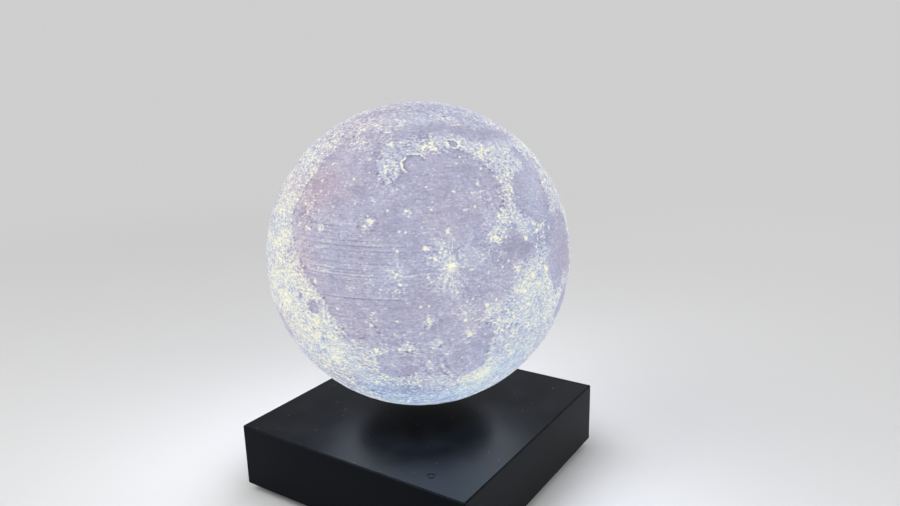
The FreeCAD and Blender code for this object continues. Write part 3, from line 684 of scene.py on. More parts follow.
finishes = {
    "black_lacquer": satin_lacquer(),
    "board_green": board_green(),
    "puck_plastic": puck_plastic(),
    "diffuser_milk": diffuser_milk(),
    "moon_print": moon_print(),
}
for make, table in ((plastic, PLASTICS), (metal, METALS), (led, LEDS)):
    for name, looks in table.items():
        finishes[name] = make(name, *looks)


def dress_nodes():
    """Gives each carried-over node the finish of its slot."""
    for entry in frame["record"]["subparts"]:
        node = frame["nodes"][entry["node"]]
        for slot in node.material_slots:
            slot.material = finishes[entry["material_slot"]]


# ---------------------------------------------------------------- the map of the Moon
# The globe is the real Moon. Every size that isn't in km is in degrees, like the places.

# The dark plains: how soft the shore is in degrees, and discs of latitude, longitude and radius in degrees
# that run together.
PLAINS = {
    "sea of rains": (0.7, [
        (33, -17, 16.8), (38, -29, 6.2), (31, -34, 7.5), (24, -30, 9), (18, -27, 8), (20, -14, 6),
    ]),
    "bay of rainbows": (0.35, [(44.4, -31.7, 3.7)]),
    "sea of serenity": (0.8, [(28, 19.5, 9.3)]),
    "lakes of dreams and of death": (1.2, [(37, 30, 4.6), (39, 37, 2.6), (45, 27, 2.2)]),
    "sea of tranquillity": (1.2, [
        (9, 31, 9), (4, 24, 5.8), (14, 36, 5.5), (1, 37, 5), (14, 25, 5.5), (-2, 26, 3.8), (19, 26, 3),
    ]),
    "sea of vapours": (1.6, [(13, 3.5, 4.8), (11, 7.5, 3), (17.5, 3.5, 2)]),
    "central bay": (1.8, [(2.5, -3, 3.9), (7, -4, 5), (1, -8, 5)]),
    "bay of heats": (1.6, [(11, -8, 5.5), (6, -13, 6), (14, -15, 4)]),
    "sea of nectar": (0.8, [(-15, 35, 5)]),
    "sea of fertility": (1.0, [(-2, 51, 6.4), (-8, 52, 6.8), (-14, 50, 3.2), (3, 49, 3.4)]),
    "sea of crises": (0.5, [(17, 57, 5.3), (17.5, 61, 5.2)]),
    "foaming sea and sea of waves": (0.8, [(1, 65, 1.9), (7, 68, 2.4)]),
    "sea of the edge": (0.9, [(13, 86, 4.2), (-2, 87, 5.2)]),
    "northeast limb sea": (0.9, [(57, 81, 3.6)]),
    "sea of cold": (2.0, [
        (57.5, -42, 3), (59.5, -35, 2.8), (60, -28, 2.8), (60, -20, 3.2), (59.5, -12, 3), (59, -4, 3),
        (56.5, 2, 3.2), (55, 8, 3), (54, 15, 2.9), (54, 22, 3), (54, 29, 3), (53, 36, 2.6),
    ]),
    "bay of dew": (2.0, [(55, -62, 5), (52, -55, 4.4)]),
    "ocean of storms": (0.6, [
        (50, -66, 7.2), (42, -68, 8.2), (33, -72, 8.6), (25, -76, 7), (18, -70, 8), (12, -66, 8),
        (4, -58, 8), (-4, -54, 7.4), (-9.5, -52.5, 5.2), (44, -58, 6), (36, -57, 8.3), (27, -60, 12),
        (18, -58, 12), (8, -50, 11), (25, -46, 10), (30, -46, 6.8), (15, -42, 11), (2, -42, 10),
    ]),
    "sea of islands": (1.0, [(10, -28, 9), (3, -20, 9), (-3, -30, 8), (-6, -40, 8)]),
    "known sea": (1.3, [
        (-9, -23, 6), (-4, -22, 6), (-11, -32, 6), (-12, -27, 5), (-12, -17, 5), (-3, -14, 4.5),
    ]),
    "sea of clouds": (0.9, [
        (-20, -15, 8), (-25, -14, 6.3), (-26, -22, 4.6), (-22, -21, 5.6), (-15, -12, 5.8), (-17, -30, 3.6),
        (-25, -28, 4.6),
    ]),
    "sea of moisture": (0.6, [(-24.5, -39, 6.4), (-24, -42, 4.4)]),
    "broken plains round it": (2.2, [(-14.5, -47, 4.6), (-16.5, -41, 4.0)]),
    "eastern sea": (0.7, [(-19, -94, 4.8), (-14, -86, 1.1), (-11, -83, 0.9)]),
    "southern sea": (0.9, [(-40, 93, 3.6), (-47, 90, 2.8), (-35, 97, 2.6), (-45, 101, 2.6), (-38, 84, 2)]),
    "sea of a far city": (0.6, [(27, 148, 4)]),
    "sea of cleverness": (0.6, [(-34, 164, 3.2), (-33, 170, 1.8)]),
    "far south basin": (0.9, [(-36, -152, 2.8), (-51, -170, 3.2), (-43, 178, 2.6), (-57, 160, 2.4)]),
}
# Craters with dark floors: latitude, longitude, radius of the floor in degrees.
DARK_FLOORS = [
    (51.9, -10.2, 1.35), (-5.4, -68.9, 2.3), (-2.4, -74.8, 0.9), (-17.0, -67.4, 0.75), (-13.9, -70.8, 0.6),
    (-12.5, -84.5, 0.8), (-14.5, -88.5, 0.9), (-19.0, -86.0, 0.9), (53.4, 1.6, 0.7), (53.6, 56.5, 1.9),
    (-43.5, -56.2, 1.1), (-45.6, -53.4, 0.9), (-20.4, 129, 2.4), (-35, 147, 1.8), (-17, 173, 1.5),
    (46, 152, 1.3), (37.5, -151, 1.2), (-68, -133, 1.3), (59.5, -27.0, 0.7), (46.7, 44.4, 0.8),
    (-49, 24, 0.7),
]
# Where the speckle is stronger or weaker than the ground alone gives: latitude, longitude, reach in
# degrees, and the change.
ROUGHER = [
    # on the land
    (5, 10, 8, -0.04), (-6, 10, 8, -0.15), (-22, 8, 12, -0.20), (-34, -4, 8, -0.25), (-36, 14, 10, -0.25),
    (46, 6, 6, 0.25), (34, 7.5, 4, 0.2), (40, 42, 8, 0.20), (0, -84, 22, 0.10), (68, 0, 14, -0.28),
    (67, -50, 10, -0.35), (45, -43, 4, -0.10), (-52, -20, 18, -0.32), (-46, 14, 12, -0.15),
    (-34, -38, 7, 0.15),
    # on the plains
    (12.5, -24, 5, 0.28), (15, -19, 3.5, 0.25), (15.5, -27, 3, 0.35), (8, -38, 4, 0.20), (4, -24, 4, 0.3),
    (-6, -17, 3, 0.45), (-7.5, -28, 2.4, 0.40), (-16, -25, 3, 0.50), (-17, -43, 6, 0.45),
    (-24, -31, 3, 0.45), (26, -4, 4, 0.30), (23, -1, 4, 0.20), (14, -11.5, 2.6, 0.15), (25, -74, 6, 0.45),
    (30, -78, 4, 0.30), (23.5, -48, 2, 0.35), (14.5, 13.5, 4.5, -0.45), (8, 13, 4, 0.20),
    (38, -42, 3.5, 0.45), (8, -6, 6, 0.35), (-13, -13, 3, 0.30), (4.5, -36.5, 2.5, 0.15),
    (-27, -24, 2.6, 0.40), (57, -30, 7, 0.40), (58, 0, 6, 0.25), (54, -60, 7, 0.50), (-3, -50, 5, 0.15),
    (20, -8, 3, 0.2), (47, -16, 3, 0.10), (-20, -34, 3, 0.35), (-12, -56, 4, 0.30), (18, 10, 4, -0.20),
    (-29, -16, 3, 0.30), (-16.5, -26, 2.2, 0.45), (-13.5, -14, 1.6, 0.45), (-20.5, -33, 1.8, 0.45),
    (-27, -29.5, 2.0, 0.45), (-4, -16.5, 3, 0.3), (3, -37.5, 3.2, 0.25), (12, -38, 2.4, 0.30),
    (-8.5, -28.6, 1.8, 0.45), (-5, -25, 1.5, 0.35), (-12, -38, 2.0, 0.25), (-16.5, -33, 2.4, 0.40),
]
# Where the print lets more or less light through: latitude, longitude, reach in degrees, and the change.
GLOWING = [
    # on the land
    (-2, -84, 17, 0.26), (-14, -66, 9, 0.12), (-24, -62, 8, 0.12), (28, -92, 12, 0.15), (3, 8, 8, 0.07),
    (-15, 12, 10, 0.08), (-34, -6, 6, 0.20), (-30, 6, 8, 0.05), (34, 7.5, 4, 0.03), (46, 4, 5, 0.03),
    (-3, 11, 9, 0.07), (-33, -6, 6, 0.05), (12, 13, 5, -0.09), (55, -95, 6, -0.12), (-36, -34, 7, -0.06),
    (-26, -15, 5, -0.04), (-15, 4, 5, -0.04), (5, -22, 6, -0.03), (4, -26, 4, -0.04), (-40, -38, 8, -0.14),
    (-50, -30, 12, -0.10), (54, -14, 7, 0.03), (46, 12, 8, 0.05), (0, 12, 8, 0.06), (70, -20, 12, -0.14),
    (60, 20, 10, -0.12), (45, -42, 5, -0.10), (-14, -2, 5, -0.06), (62, -75, 8, -0.04), (46, 60, 10, 0.14),
    (20, 62, 14, 0.06), (-55, -30, 10, 0.06), (72, -75, 10, -0.18), (75, -45, 8, -0.12), (68, -15, 9, 0.05),
    (74, 8, 6, -0.22), (62, 20, 8, -0.16), (62, -35, 6, 0.02), (34, 26, 5, 0.14), (-38, -45, 8, -0.06),
    (17, -88, 6, 0.06), (-15, -86, 6, 0.12), (-15, 24, 5, 0.11), (-36, -15, 5, 0.13), (-45, -60, 10, -0.10),
    (-45, -35, 8, -0.08), (-50, -18, 8, -0.10), (-5, -6, 4, 0.07), (-24, -65, 4, 0.15), (15, -84, 5, 0.05),
    (65, -66, 6, 0.10), (65, -26, 5, 0.10), (65, 5, 5, 0.08), (35, 14, 4, -0.08), (37, 38, 5, 0.12),
    (31, 34, 3, 0.10), (18, -6, 4, 0.04), (24, -86, 4, -0.08), (4, 14, 4, -0.08), (-6, -66, 8, -0.05),
    (-16, -74, 6, -0.05), (-36, -66, 6, -0.06), (-34, 5, 5, -0.05), (-15, -88, 4, 0.06),
    # on the plains
    (54, -46, 4, -0.16), (55, -25, 5, -0.14), (45, -66, 5, 0.12), (34, -76, 5, -0.12), (33, -52, 6, -0.09),
    (3, -48, 5, -0.06), (2, -24, 5, -0.04), (14, 15, 5, -0.20), (14, 3, 5, -0.14), (15, -76, 4, 0.13),
    (-15, -46, 4, 0.09), (3, -35, 6, -0.06), (2, -15, 4, -0.05), (-15, 25, 5, 0.06), (24, -56, 5, 0.07),
    (44, -35, 3, 0.08), (3, -23.5, 2.2, 0.12), (0.5, -19.5, 2, 0.10), (-6.5, -16, 2.6, 0.14),
    (-12, -14.8, 1.8, 0.16), (-7, -28.8, 2, 0.14), (-16.5, -25.5, 2.2, 0.16), (-20.5, -22, 1.6, 0.14),
    (-3, -7, 2.5, 0.10), (35, -55, 5, -0.05), (14, -6, 4, -0.08), (15, -26, 4, -0.05), (-25, -27, 2, 0.12),
    (22.5, -51, 3, 0.05), (51, 16, 4, 0.08), (12.5, -24, 5, 0.14), (9.6, -20.1, 3, 0.15), (8, -38, 4, 0.12),
    (13.5, -12, 4, 0.06), (3, -23, 4, 0.10), (-4, -17, 4, 0.06), (23, -1, 4, 0.12), (14, -14, 3.5, 0.06),
    (26, -53, 6, 0.05), (28, 18, 8, 0.05), (-25, -38, 6, 0.03),
]
# Where painted room light tints the globe warmer or colder: latitude, longitude, reach in degrees, and the
# change.
WARMED_BY_ROOM_LIGHT = [
    (34, -77, 8, 0.65), (8, -74, 8, 0.20), (36, -62, 10, 0.15), (-9, -58, 8, 0.18), (-56, -25, 16, -0.70),
    (-50, 12, 18, -0.25), (-42, -50, 12, -0.28), (-26, -66, 10, -0.15), (-5, 10, 12, -0.22),
    (18, -10, 8, -0.12), (12, -24, 6, -0.15), (6, -38, 6, -0.15), (-28, 8, 14, -0.12), (22, 20, 12, -0.20),
    (5, 34, 12, 0.15), (14, -80, 9, 0.30), (66, -72, 12, 0.16), (-34, -64, 8, 0.12), (-44, -36, 8, -0.10),
    (-30, 14, 8, -0.12), (-34, -5, 7, -0.05), (30, -97, 9, 0.45), (-16, -88, 6, 0.45), (30, -15, 14, 0.10),
    (10, -50, 20, 0.08), (60, -75, 14, 0.20), (62, 0, 8, 0.06), (25, 30, 8, 0.15), (4, -68, 6, 0.15),
]
# Craters to be sculpted: latitude, longitude, diameter in km, how fresh and bright (0 to 1).
CATALOGUE = [
    # round the sea of rains and the middle of the disc
    (9.6, -20.1, 93, 0.9), (8.1, -38.0, 31, 0.8), (23.7, -47.5, 40, 1.0), (51.6, -9.4, 101, 0.9),
    (29.7, -4.0, 83, 0.35), (33.9, 1.5, 55, 0.6), (30.7, 1.5, 39, 0.5), (14.5, -11.3, 58, 0.45),
    (14.5, 9.1, 39, 0.8), (40.2, 4.6, 56, 0.35), (50.2, 17.4, 87, 0.5), (44.3, 16.3, 67, 0.6),
    (25.8, -21.0, 30, 0.5), (26.7, -13.1, 34, 0.5), (20.5, -20.6, 20, 0.6), (23.3, -29.2, 28, 0.6),
    (29.9, -34.6, 25, 0.5), (27.6, -34.3, 18, 0.6), (25.5, -44.1, 46, 0.3), (23.2, -49.7, 34, 0.3),
    (41.6, -43.4, 40, 0.5), (45.7, -40.2, 39, 0.4), (52.6, -43.4, 39, 0.5), (49.6, -12.5, 14, 0.4),
    (45.6, -8.9, 24, 0.5), (45.7, -2.6, 25, 0.7), (49.7, -15.9, 15, 0.5), (47.3, -19.6, 12, 0.5),
    # the far north
    (63.5, -63.0, 142, 0.4), (59.7, -57.1, 143, 0.15), (58.0, -50.8, 104, 0.15), (62.0, -42.0, 165, 0.2),
    (66.9, -51.3, 67, 0.3), (72.1, -32.4, 70, 0.6), (65.4, 4.5, 156, 0.15), (71.3, 7.7, 92, 0.2),
    (73.6, 18.8, 130, 0.2), (73.4, -10.1, 52, 0.9), (67.5, -4.6, 55, 0.4), (62.6, 25, 60, 0.3),
    (61.9, -12.7, 30, 0.5), (75, 50, 90, 0.3), (80, -20, 80, 0.3), (82, 60, 70, 0.3),
    # the northeast
    (46.7, 44.4, 87, 0.5), (46.7, 39.1, 69, 0.5), (53.6, 56.5, 125, 0.35), (31.8, 29.9, 95, 0.4),
    (21.3, 46.0, 64, 0.4), (27.7, 55.5, 125, 0.35), (34.5, 56.7, 85, 0.4), (39.2, 59.9, 125, 0.2),
    (35.7, 79.0, 177, 0.25), (15.4, 23.7, 43, 0.5), (16.3, 16.0, 27, 0.9), (9.0, 15.4, 88, 0.15),
    (16.1, 46.8, 28, 1.0), (4.2, 3.6, 26, 0.5), (4.1, 10.5, 46, 0.3), (2.8, 14.1, 14, 0.8),
    # the southeast
    (-8.9, 61.1, 130, 0.8), (-16.4, 61.6, 140, 0.15), (-25.3, 60.4, 180, 0.4), (-11.4, 26.4, 104, 0.5),
    (-13.2, 24.0, 98, 0.3), (-18.1, 23.4, 104, 0.2), (-21.2, 33.0, 120, 0.2), (-29.7, 32.2, 88, 0.4),
    (-42.0, 14.0, 114, 0.35), (-41.1, 6.0, 126, 0.25), (-31.8, 53.2, 68, 0.5), (-36.1, 56.4, 120, 0.2),
    (-41.5, 40, 98, 0.3), (-50, 42, 80, 0.3), (-56, 30, 90, 0.3), (-1.9, 47.6, 12, 0.9),
    (-31.8, 51.6, 12, 1.0),
    # the chain down the middle and the south
    (-9.2, -1.8, 153, 0.2), (-13.4, -2.8, 118, 0.3), (-18.2, -1.9, 96, 0.5), (-11.7, 4.3, 129, 0.25),
    (-5.1, 5.2, 144, 0.15), (-5.7, -2.1, 41, 0.5), (-33.1, 1.0, 132, 0.25), (-33.1, -4.8, 227, 0.15),
    (-28.3, -1.0, 120, 0.2), (-25.5, -2.3, 115, 0.25), (-29.9, -13.5, 100, 0.3), (-40.6, -4.6, 105, 0.2),
    (-43.3, -11.2, 85, 1.0), (-58.4, -14.4, 225, 0.35), (-49.5, -21.7, 157, 0.3), (-50.5, -6.3, 156, 0.25),
    (-43.4, -20.4, 100, 0.25), (-60.5, -27.5, 110, 0.3), (-63.8, -21.4, 110, 0.3), (-70.6, -5.8, 111, 0.4),
    (-66.5, -69.1, 287, 0.2), (-75, 20, 120, 0.3), (-65, 20, 90, 0.3), (-80, -60, 100, 0.3),
    # the southwest
    (-20.7, -22.2, 60, 0.5), (-6.1, -17.0, 96, 0.15), (-3.5, -17.5, 48, 0.2), (-17.5, -39.9, 110, 0.4),
    (-44.3, -54.6, 212, 0.2), (-49.6, -60.2, 84, 0.2), (-52.7, -57.0, 114, 0.25), (-51.9, -39.0, 120, 0.25),
    (-47.5, -68.8, 91, 0.3), (-32.3, -72.8, 200, 0.15), (-24.7, -65.3, 87, 0.3), (-24.5, -63.7, 18, 1.0),
    (-21.5, -49.2, 84, 0.25), (-29.2, -56.3, 80, 0.25), (-13.8, -50.1, 45, 0.3), (-11.5, -52.0, 44, 0.4),
    (-12.5, -60.4, 42, 0.5), (-20.2, -69.5, 120, 0.15), (-30.4, -37.5, 42, 0.5), (-28.5, -41.4, 65, 0.2),
    (-29.3, -26.1, 46, 0.3), (-28.0, -27.8, 48, 0.3), (-34.1, -26.7, 60, 0.2), (-10.8, -42.5, 118, 0.15),
    # the western edge
    (-5.2, -68.6, 172, 0.35), (-2.6, -74.8, 146, 0.3), (2.2, -67.6, 114, 0.25), (5.1, -66.8, 57, 0.5),
    (11.9, -50.8, 41, 0.5), (7.0, -54.9, 30, 0.6), (21.0, -66.6, 43, 0.5), (16.6, -72.6, 51, 0.4),
    (13.2, -72.5, 49, 0.4), (22.4, -77.1, 164, 0.15), (26.5, -69.1, 37, 0.4), (31.8, -67.7, 20, 0.6),
    (8.1, -77.6, 43, 0.9), (4.7, -36.6, 28, 0.4), (6.5, -28.0, 15, 0.7), (10.0, -30.2, 13, 0.7),
    (15.6, -29.1, 33, 0.3), (3.3, -22.8, 43, 0.4), (-0.3, -26.6, 38, 0.5), (0.2, -32.6, 18, 0.5),
    (-4.5, -44.3, 21, 0.6), (16.9, -40.0, 12, 0.6), (20.6, -40.2, 14, 0.4), (36.0, -40.0, 11, 0.5),
    (34.0, -29.0, 10, 0.5), (37.0, -22.0, 9, 0.5), (33.0, -11.5, 10, 0.4), (31.0, -59.0, 12, 0.5),
    # the far side
    (27, 148, 220, 0.2), (-20.4, 129, 185, 0.4), (-36, -152, 400, 0.15), (-34, 164, 280, 0.2),
    (5, 141, 185, 0.25), (37.5, -151, 230, 0.25), (4.5, -130, 140, 0.4), (-20, 105, 120, 0.3),
    (16, 112, 110, 0.4), (36, 103, 77, 1.0), (-55, -135, 150, 0.3), (0, -160, 400, 0.1),
    (50, -170, 130, 0.3), (12, -175, 150, 0.2), (60, 120, 140, 0.3), (-8, 178, 110, 0.3),
    (23, -118, 130, 0.3), (-46, -110, 120, 0.3),
]
# Young craters that throw rays: latitude, longitude, reach in degrees, strength, number of rays.
RAYED = [
    (9.6, -20.1, 15, 0.34, 27), (8.1, -38.0, 8, 0.16, 19), (23.7, -47.5, 6, 0.30, 9),
    (-43.3, -11.2, 46, 0.26, 17), (16.1, 46.8, 9, 0.5, 9), (-24.5, -63.7, 7, 0.35, 11),
    (8.1, -77.6, 8, 0.30, 11), (-31.8, 51.6, 10, 0.5, 9), (-8.9, 61.1, 9, 0.4, 13),
    (73.4, -10.1, 10, 0.2, 11), (36, 103, 26, 0.6, 15), (50, -170, 10, 0.35, 9), (-8, 178, 12, 0.3, 11),
]
# Bright ridges and streaks: half width in degrees, brightness, and the places that they run through.
RIDGES = {
    "western mountains of the bay": (0.50, 0.7, [
        (41.2, -35.2), (43.0, -36.9), (45.2, -37.0), (47.0, -35.6), (48.1, -33.0), (48.0, -30.2),
        (46.9, -27.4),
    ]),
    "mountains by the bay": (0.6, 0.30, [(41.5, -38.5), (38.3, -39.6), (36.2, -41.0)]),
    "straight range": (0.50, 1.0, [(48.5, -22.0), (48.3, -18.6)]),
    "scattered peaks": (0.50, 0.9, [(49.2, -16.2), (48.0, -13.8), (47.1, -11.8)]),
    "north shore": (0.40, 0.22, [
        (49.8, -26.0), (51.0, -22.0), (52.4, -18.5), (51.6, -14.5), (50.0, -10.0), (49.4, -6.0),
    ]),
    "arc round the dark crater": (0.50, 0.40, [
        (52.6, -18.5), (54.3, -15.8), (56.2, -12.0), (56.9, -8.5), (55.6, -4.5), (52.4, -2.0), (50.4, -5.0),
    ]),
    "far north shore": (0.50, 0.55, [(53.6, -25.6), (55.2, -23.2), (56.6, -20.4)]),
    "high alps": (0.80, 0.52, [(49.2, -5.6), (47.6, -2.2), (45.2, -0.6), (43.0, 0.6), (41.0, 3.2)]),
    "east range": (0.85, 0.50, [(31.6, 5.6), (33.8, 7.4), (36.2, 7.6), (39.2, 8.2)]),
    "long range": (0.80, 0.26, [
        (29.0, 5.0), (26.0, 2.6), (23.0, 0.6), (20.8, -2.2), (18.6, -5.6), (17.4, -9.0), (16.6, -11.0),
    ]),
    "southern foothills": (0.60, 0.10, [(21.0, 1.0), (19.0, -1.0), (17.0, -3.6), (15.8, -5.6)]),
    "shore of serenity": (0.40, 0.25, [(18.6, 11.0), (17.2, 13.4), (16.6, 16.2)]),
    "shore of vapours": (0.45, 0.35, [(15.0, 14.4), (12.6, 13.4), (9.8, 11.6)]),
    "southern shore of the rains": (0.75, 0.30, [(15.4, -29.0), (14.8, -25.0), (13.2, -21.6)]),
    "hills in the known sea": (0.50, 0.65, [(-5.4, -28.6), (-7.8, -28.0), (-10.8, -28.8)]),
    "ray from the south": (0.60, 0.80, [(-23.0, -24.4), (-27.6, -22.8), (-32.6, -18.4), (-38.4, -13.4)]),
    "second ray from the south": (0.60, 0.40, [(-28.0, -3.0), (-33.0, -7.0), (-39.0, -10.0)]),
    "pale bands of the south": (1.60, 0.40, [(-25.0, 6.0), (-30.0, -1.0), (-36.0, -8.0)]),
    "west shore of moisture": (0.60, 0.50, [(-19.0, -45.0), (-23.0, -47.6), (-27.0, -46.8)]),
    "bright crater's wall": (1.05, 1.0, [(24.4, -47.4), (23.4, -47.8), (23.0, -49.4)]),
    "ring by the long range": (0.26, 0.10, [
        (31.4, -4.6), (30.9, -2.6), (29.4, -2.6), (28.5, -4.4), (29.6, -6.2), (31.0, -6.0), (31.4, -4.6),
    ]),
    "peak in the rains": (0.50, 0.85, [(36.6, -5.6), (35.2, -6.2), (34.6, -5.4)]),
    "western ridge": (0.40, 0.45, [(27.8, -78.4), (29.4, -75.6), (28.6, -72.0)]),
    "western arc": (0.36, 0.45, [(22.4, -74.6), (24.2, -72.6), (23.4, -70.4)]),
}
# Small bright craters and peaks: latitude, longitude, radius in degrees, brightness.
SPOTS = [
    (10.2, -20.2, 0.9, 0.9), (12.4, -25.6, 0.7, 0.6), (14.6, -22.2, 0.7, 0.6), (9.6, -23.0, 0.6, 0.7),
    (8.1, -38.0, 0.7, 0.7), (15.3, -37.8, 0.55, 0.9), (16.0, -28.8, 0.75, 0.8), (7.0, -28.2, 0.6, 0.7),
    (20.8, -21.0, 0.75, 1.0), (28.0, -41.5, 0.5, 0.8), (28.0, -34.8, 0.55, 0.6), (28.0, -26.0, 0.6, 0.8),
    (27.3, -13.3, 1.0, 0.45), (28.0, -9.8, 0.5, 0.9), (46.3, -9.8, 0.55, 0.9), (44.0, -9.0, 0.55, 0.7),
    (43.8, -12.5, 0.6, 0.5), (41.0, -1.8, 0.5, 0.9), (33.6, -16.6, 0.5, 0.7), (35.8, -27.0, 0.5, 0.6),
    (33.2, -25.8, 0.5, 0.5), (21.0, -35.0, 0.5, 0.8), (21.3, -37.2, 0.5, 0.6), (15.2, 8.4, 0.9, 1.0),
    (16.6, 14.6, 0.9, 0.9), (16.2, 23.0, 0.8, 0.9), (3.7, 16.6, 0.8, 0.9), (22.6, -29.6, 0.6, 0.5),
    (13.6, 14.0, 0.6, 0.6), (17.8, 17.8, 0.5, 0.6), (11.8, 17.4, 0.5, 0.5), (37.0, -73.5, 0.8, 0.7),
    (38.6, -57.5, 0.6, 0.7), (32.2, -68.2, 0.6, 0.7), (43.6, -72.0, 0.6, 0.6), (21.3, -67.0, 0.8, 0.6),
    (26.6, -69.6, 0.6, 0.6), (25.4, -75.0, 0.7, 0.6), (41.2, -51.2, 0.55, 0.6), (46.2, -52.8, 0.7, 0.7),
    (30.0, -54.2, 0.6, 0.5), (26.3, -48.4, 0.6, 0.6), (-4.4, -58.8, 0.5, 0.7), (-5.5, -46.6, 0.5, 0.6),
    (-7.4, -38.4, 0.5, 0.8), (-12.2, -39.5, 0.5, 0.7), (-9.0, -46.6, 0.45, 0.5), (-2.5, -30.7, 0.6, 0.8),
    (-2.3, -28.2, 0.5, 0.7), (0.5, -31.3, 0.5, 0.5), (4.8, -37.0, 0.8, 0.6), (2.5, -37.2, 0.5, 0.8),
    (1.4, -19.0, 0.55, 0.8), (2.6, -11.8, 0.45, 0.5), (-1.2, -14.0, 0.7, 0.6), (-4.0, -9.0, 0.75, 0.8),
    (-2.6, -5.6, 0.6, 0.9), (-8.3, -16.2, 0.6, 0.9), (-14.6, -15.2, 0.5, 0.8), (-11.4, -11.6, 0.45, 0.6),
    (-14.6, -9.0, 0.5, 0.7), (-23.6, -28.5, 0.55, 0.8), (-23.6, -35.8, 0.45, 0.5), (-23.3, -16.4, 0.8, 0.5),
    (-28.4, -22.9, 0.55, 0.9), (-21.0, -22.6, 0.6, 0.7), (-18.0, -38.6, 0.7, 0.7), (-18.8, -46.8, 1.0, 0.7),
    (-19.0, -43.6, 0.7, 0.7), (-15.0, -35.4, 0.6, 0.6), (-18.0, -35.0, 0.6, 0.7), (28.6, 11.2, 0.5, 0.5),
    (22.8, 17.6, 0.5, 0.5), (7.6, -3.0, 0.6, 0.7), (3.8, -67.2, 0.9, 0.7), (52.8, -44.0, 0.9, 0.8),
    (63.2, -61.0, 1.1, 0.7), (13.4, -47.0, 0.45, 0.4), (2.5, 9.8, 0.8, 0.8), (3.1, 17.6, 0.7, 0.9),
    (-4.2, 18.5, 0.7, 0.7), (-15.7, 9.8, 0.7, 0.9), (-17.0, 2.8, 0.7, 0.8), (5.4, 3.5, 0.6, 0.6),
    (9.3, -0.3, 0.6, 0.7), (-6.8, 7.8, 0.6, 0.7), (-1.4, 3.7, 0.5, 0.6), (-1.0, 12.9, 0.7, 0.6),
    (5.9, 14.3, 0.6, 0.6), (-0.1, -2.5, 0.5, 0.6), (-10.4, -3.8, 0.6, 0.6), (-21.6, 1.4, 0.6, 0.6),
    (-11.5, 4.3, 0.5, 0.5),
]
# Small dark pits in the western land: latitude, longitude and radius in degrees.
DARK_PITS = ((-2.4, -75.3, 1.1), (-14.1, -71.4, 0.8), (-17.3, -67.8, 1.0), (-33.8, -58.7, 1.1))
# Mountain rings round basins and large craters: latitude and longitude of the centre, radius and half
# width in degrees, height (0 to 1) and brightness (0 to 1).
RINGS = [
    (17.2, 59, 8.0, 1.1, 0.7, 0.45), (-24, -39, 7.4, 0.9, 0.4, 0.0), (-19, -94, 8.0, 0.8, 0.7, 0.15),
    (-19, -94, 10.8, 0.9, 0.9, 0.20), (51.9, -10.2, 1.8, 0.32, 0.3, 0.75),
    (29.9, -4.4, 1.9, 0.3, 0.3, 0.45), (-5.4, -68.9, 2.9, 0.4, 0.2, 0.35), (-19, -94, 15.6, 1.0, 1.0, 0.25),
    (27, 148, 6.5, 0.9, 0.7, 0.35),
]
# Craters strewn over the land between them: how many, and the smallest and largest diameter in km.
RANDOM_CRATERS, SMALLEST, LARGEST = 1500, 26, 120


def degrees_from(rays, latitude, longitude):
    """Angle between each direction and a place, in degrees."""
    return np.degrees(np.arccos(np.clip(rays @ towards(latitude, longitude), -1, 1)))


def bearing_from(rays, latitude, longitude):
    """Compass bearing of each direction as seen from a place: 0 is north and 90 east."""
    lon = math.radians(longitude)
    east = np.array([-math.sin(lon), math.cos(lon), 0])
    north = np.cross(towards(latitude, longitude), east)
    return np.degrees(np.arctan2(rays @ east, rays @ north))


def degrees_from_line(rays, first, last):
    """Angle between each direction and a short line between two places, in degrees."""
    a, b = towards(*first), towards(*last)
    along = b - a
    share = np.clip((rays - a) @ along / (along @ along), 0, 1)
    nearest = a + share[:, None] * along
    return np.degrees(np.linalg.norm(rays - nearest, axis=1))


def smooth(values, low, high):
    """A smooth step from 0 at low to 1 at high."""
    t = np.clip((values - low) / (high - low), 0, 1)
    return t * t * (3 - 2 * t)


def bell(values, width):
    """1 at 0, and about a third at a width to either side."""
    return np.exp(-(values / width) ** 2)


def cloud(rays, scale, octaves, shift):
    """Fractal noise of about -1 to 1 at each direction."""
    offset = Vector((shift, 2.7 * shift, -1.3 * shift))
    return np.array([noise.fractal(Vector(r) * scale + offset, 0.8, 2.0, octaves) for r in rays.tolist()])


def spread(rays, patches):
    """Sum of soft patches of latitude, longitude, reach in degrees, and amount."""
    total = np.zeros(len(rays))
    for latitude, longitude, reach, amount in patches:
        total += amount * bell(degrees_from(rays, latitude, longitude), reach)
    return total


def plains_mask(rays):
    """1 on the dark plains and 0 on the land, with ragged shores, and how near a sharp shore is."""
    merging = 1.1                      # over how many degrees discs run together
    shore = 1.15 * cloud(rays, 9.0, 5, 3.1) + 0.6 * cloud(rays, 28.0, 3, 8.6)
    mask, edge = np.zeros((2, len(rays)))
    for soft, discs in PLAINS.values():
        total = np.zeros(len(rays))
        for latitude, longitude, radius in discs:
            inside = radius - degrees_from(rays, latitude, longitude)
            total += np.exp(np.clip(inside, -30, 30) / merging)
        small = min(1.0, max(radius for _, _, radius in discs) / 5)
        reach = merging * np.log(total + 1e-12) + shore * small
        mask = np.maximum(mask, smooth(reach, -soft, soft))
        edge = np.maximum(edge, np.clip(1.5 - soft, 0, 1) * bell(reach, 0.50))
    for latitude, longitude, radius in DARK_FLOORS:
        inside = radius - degrees_from(rays, latitude, longitude)
        mask = np.maximum(mask, smooth(inside + 0.14 * radius * shore, -0.35, 0.35))
        edge = np.maximum(edge, bell(inside, 0.22))
    return mask, edge * (1 - smooth(mask, 0.8, 1.0))


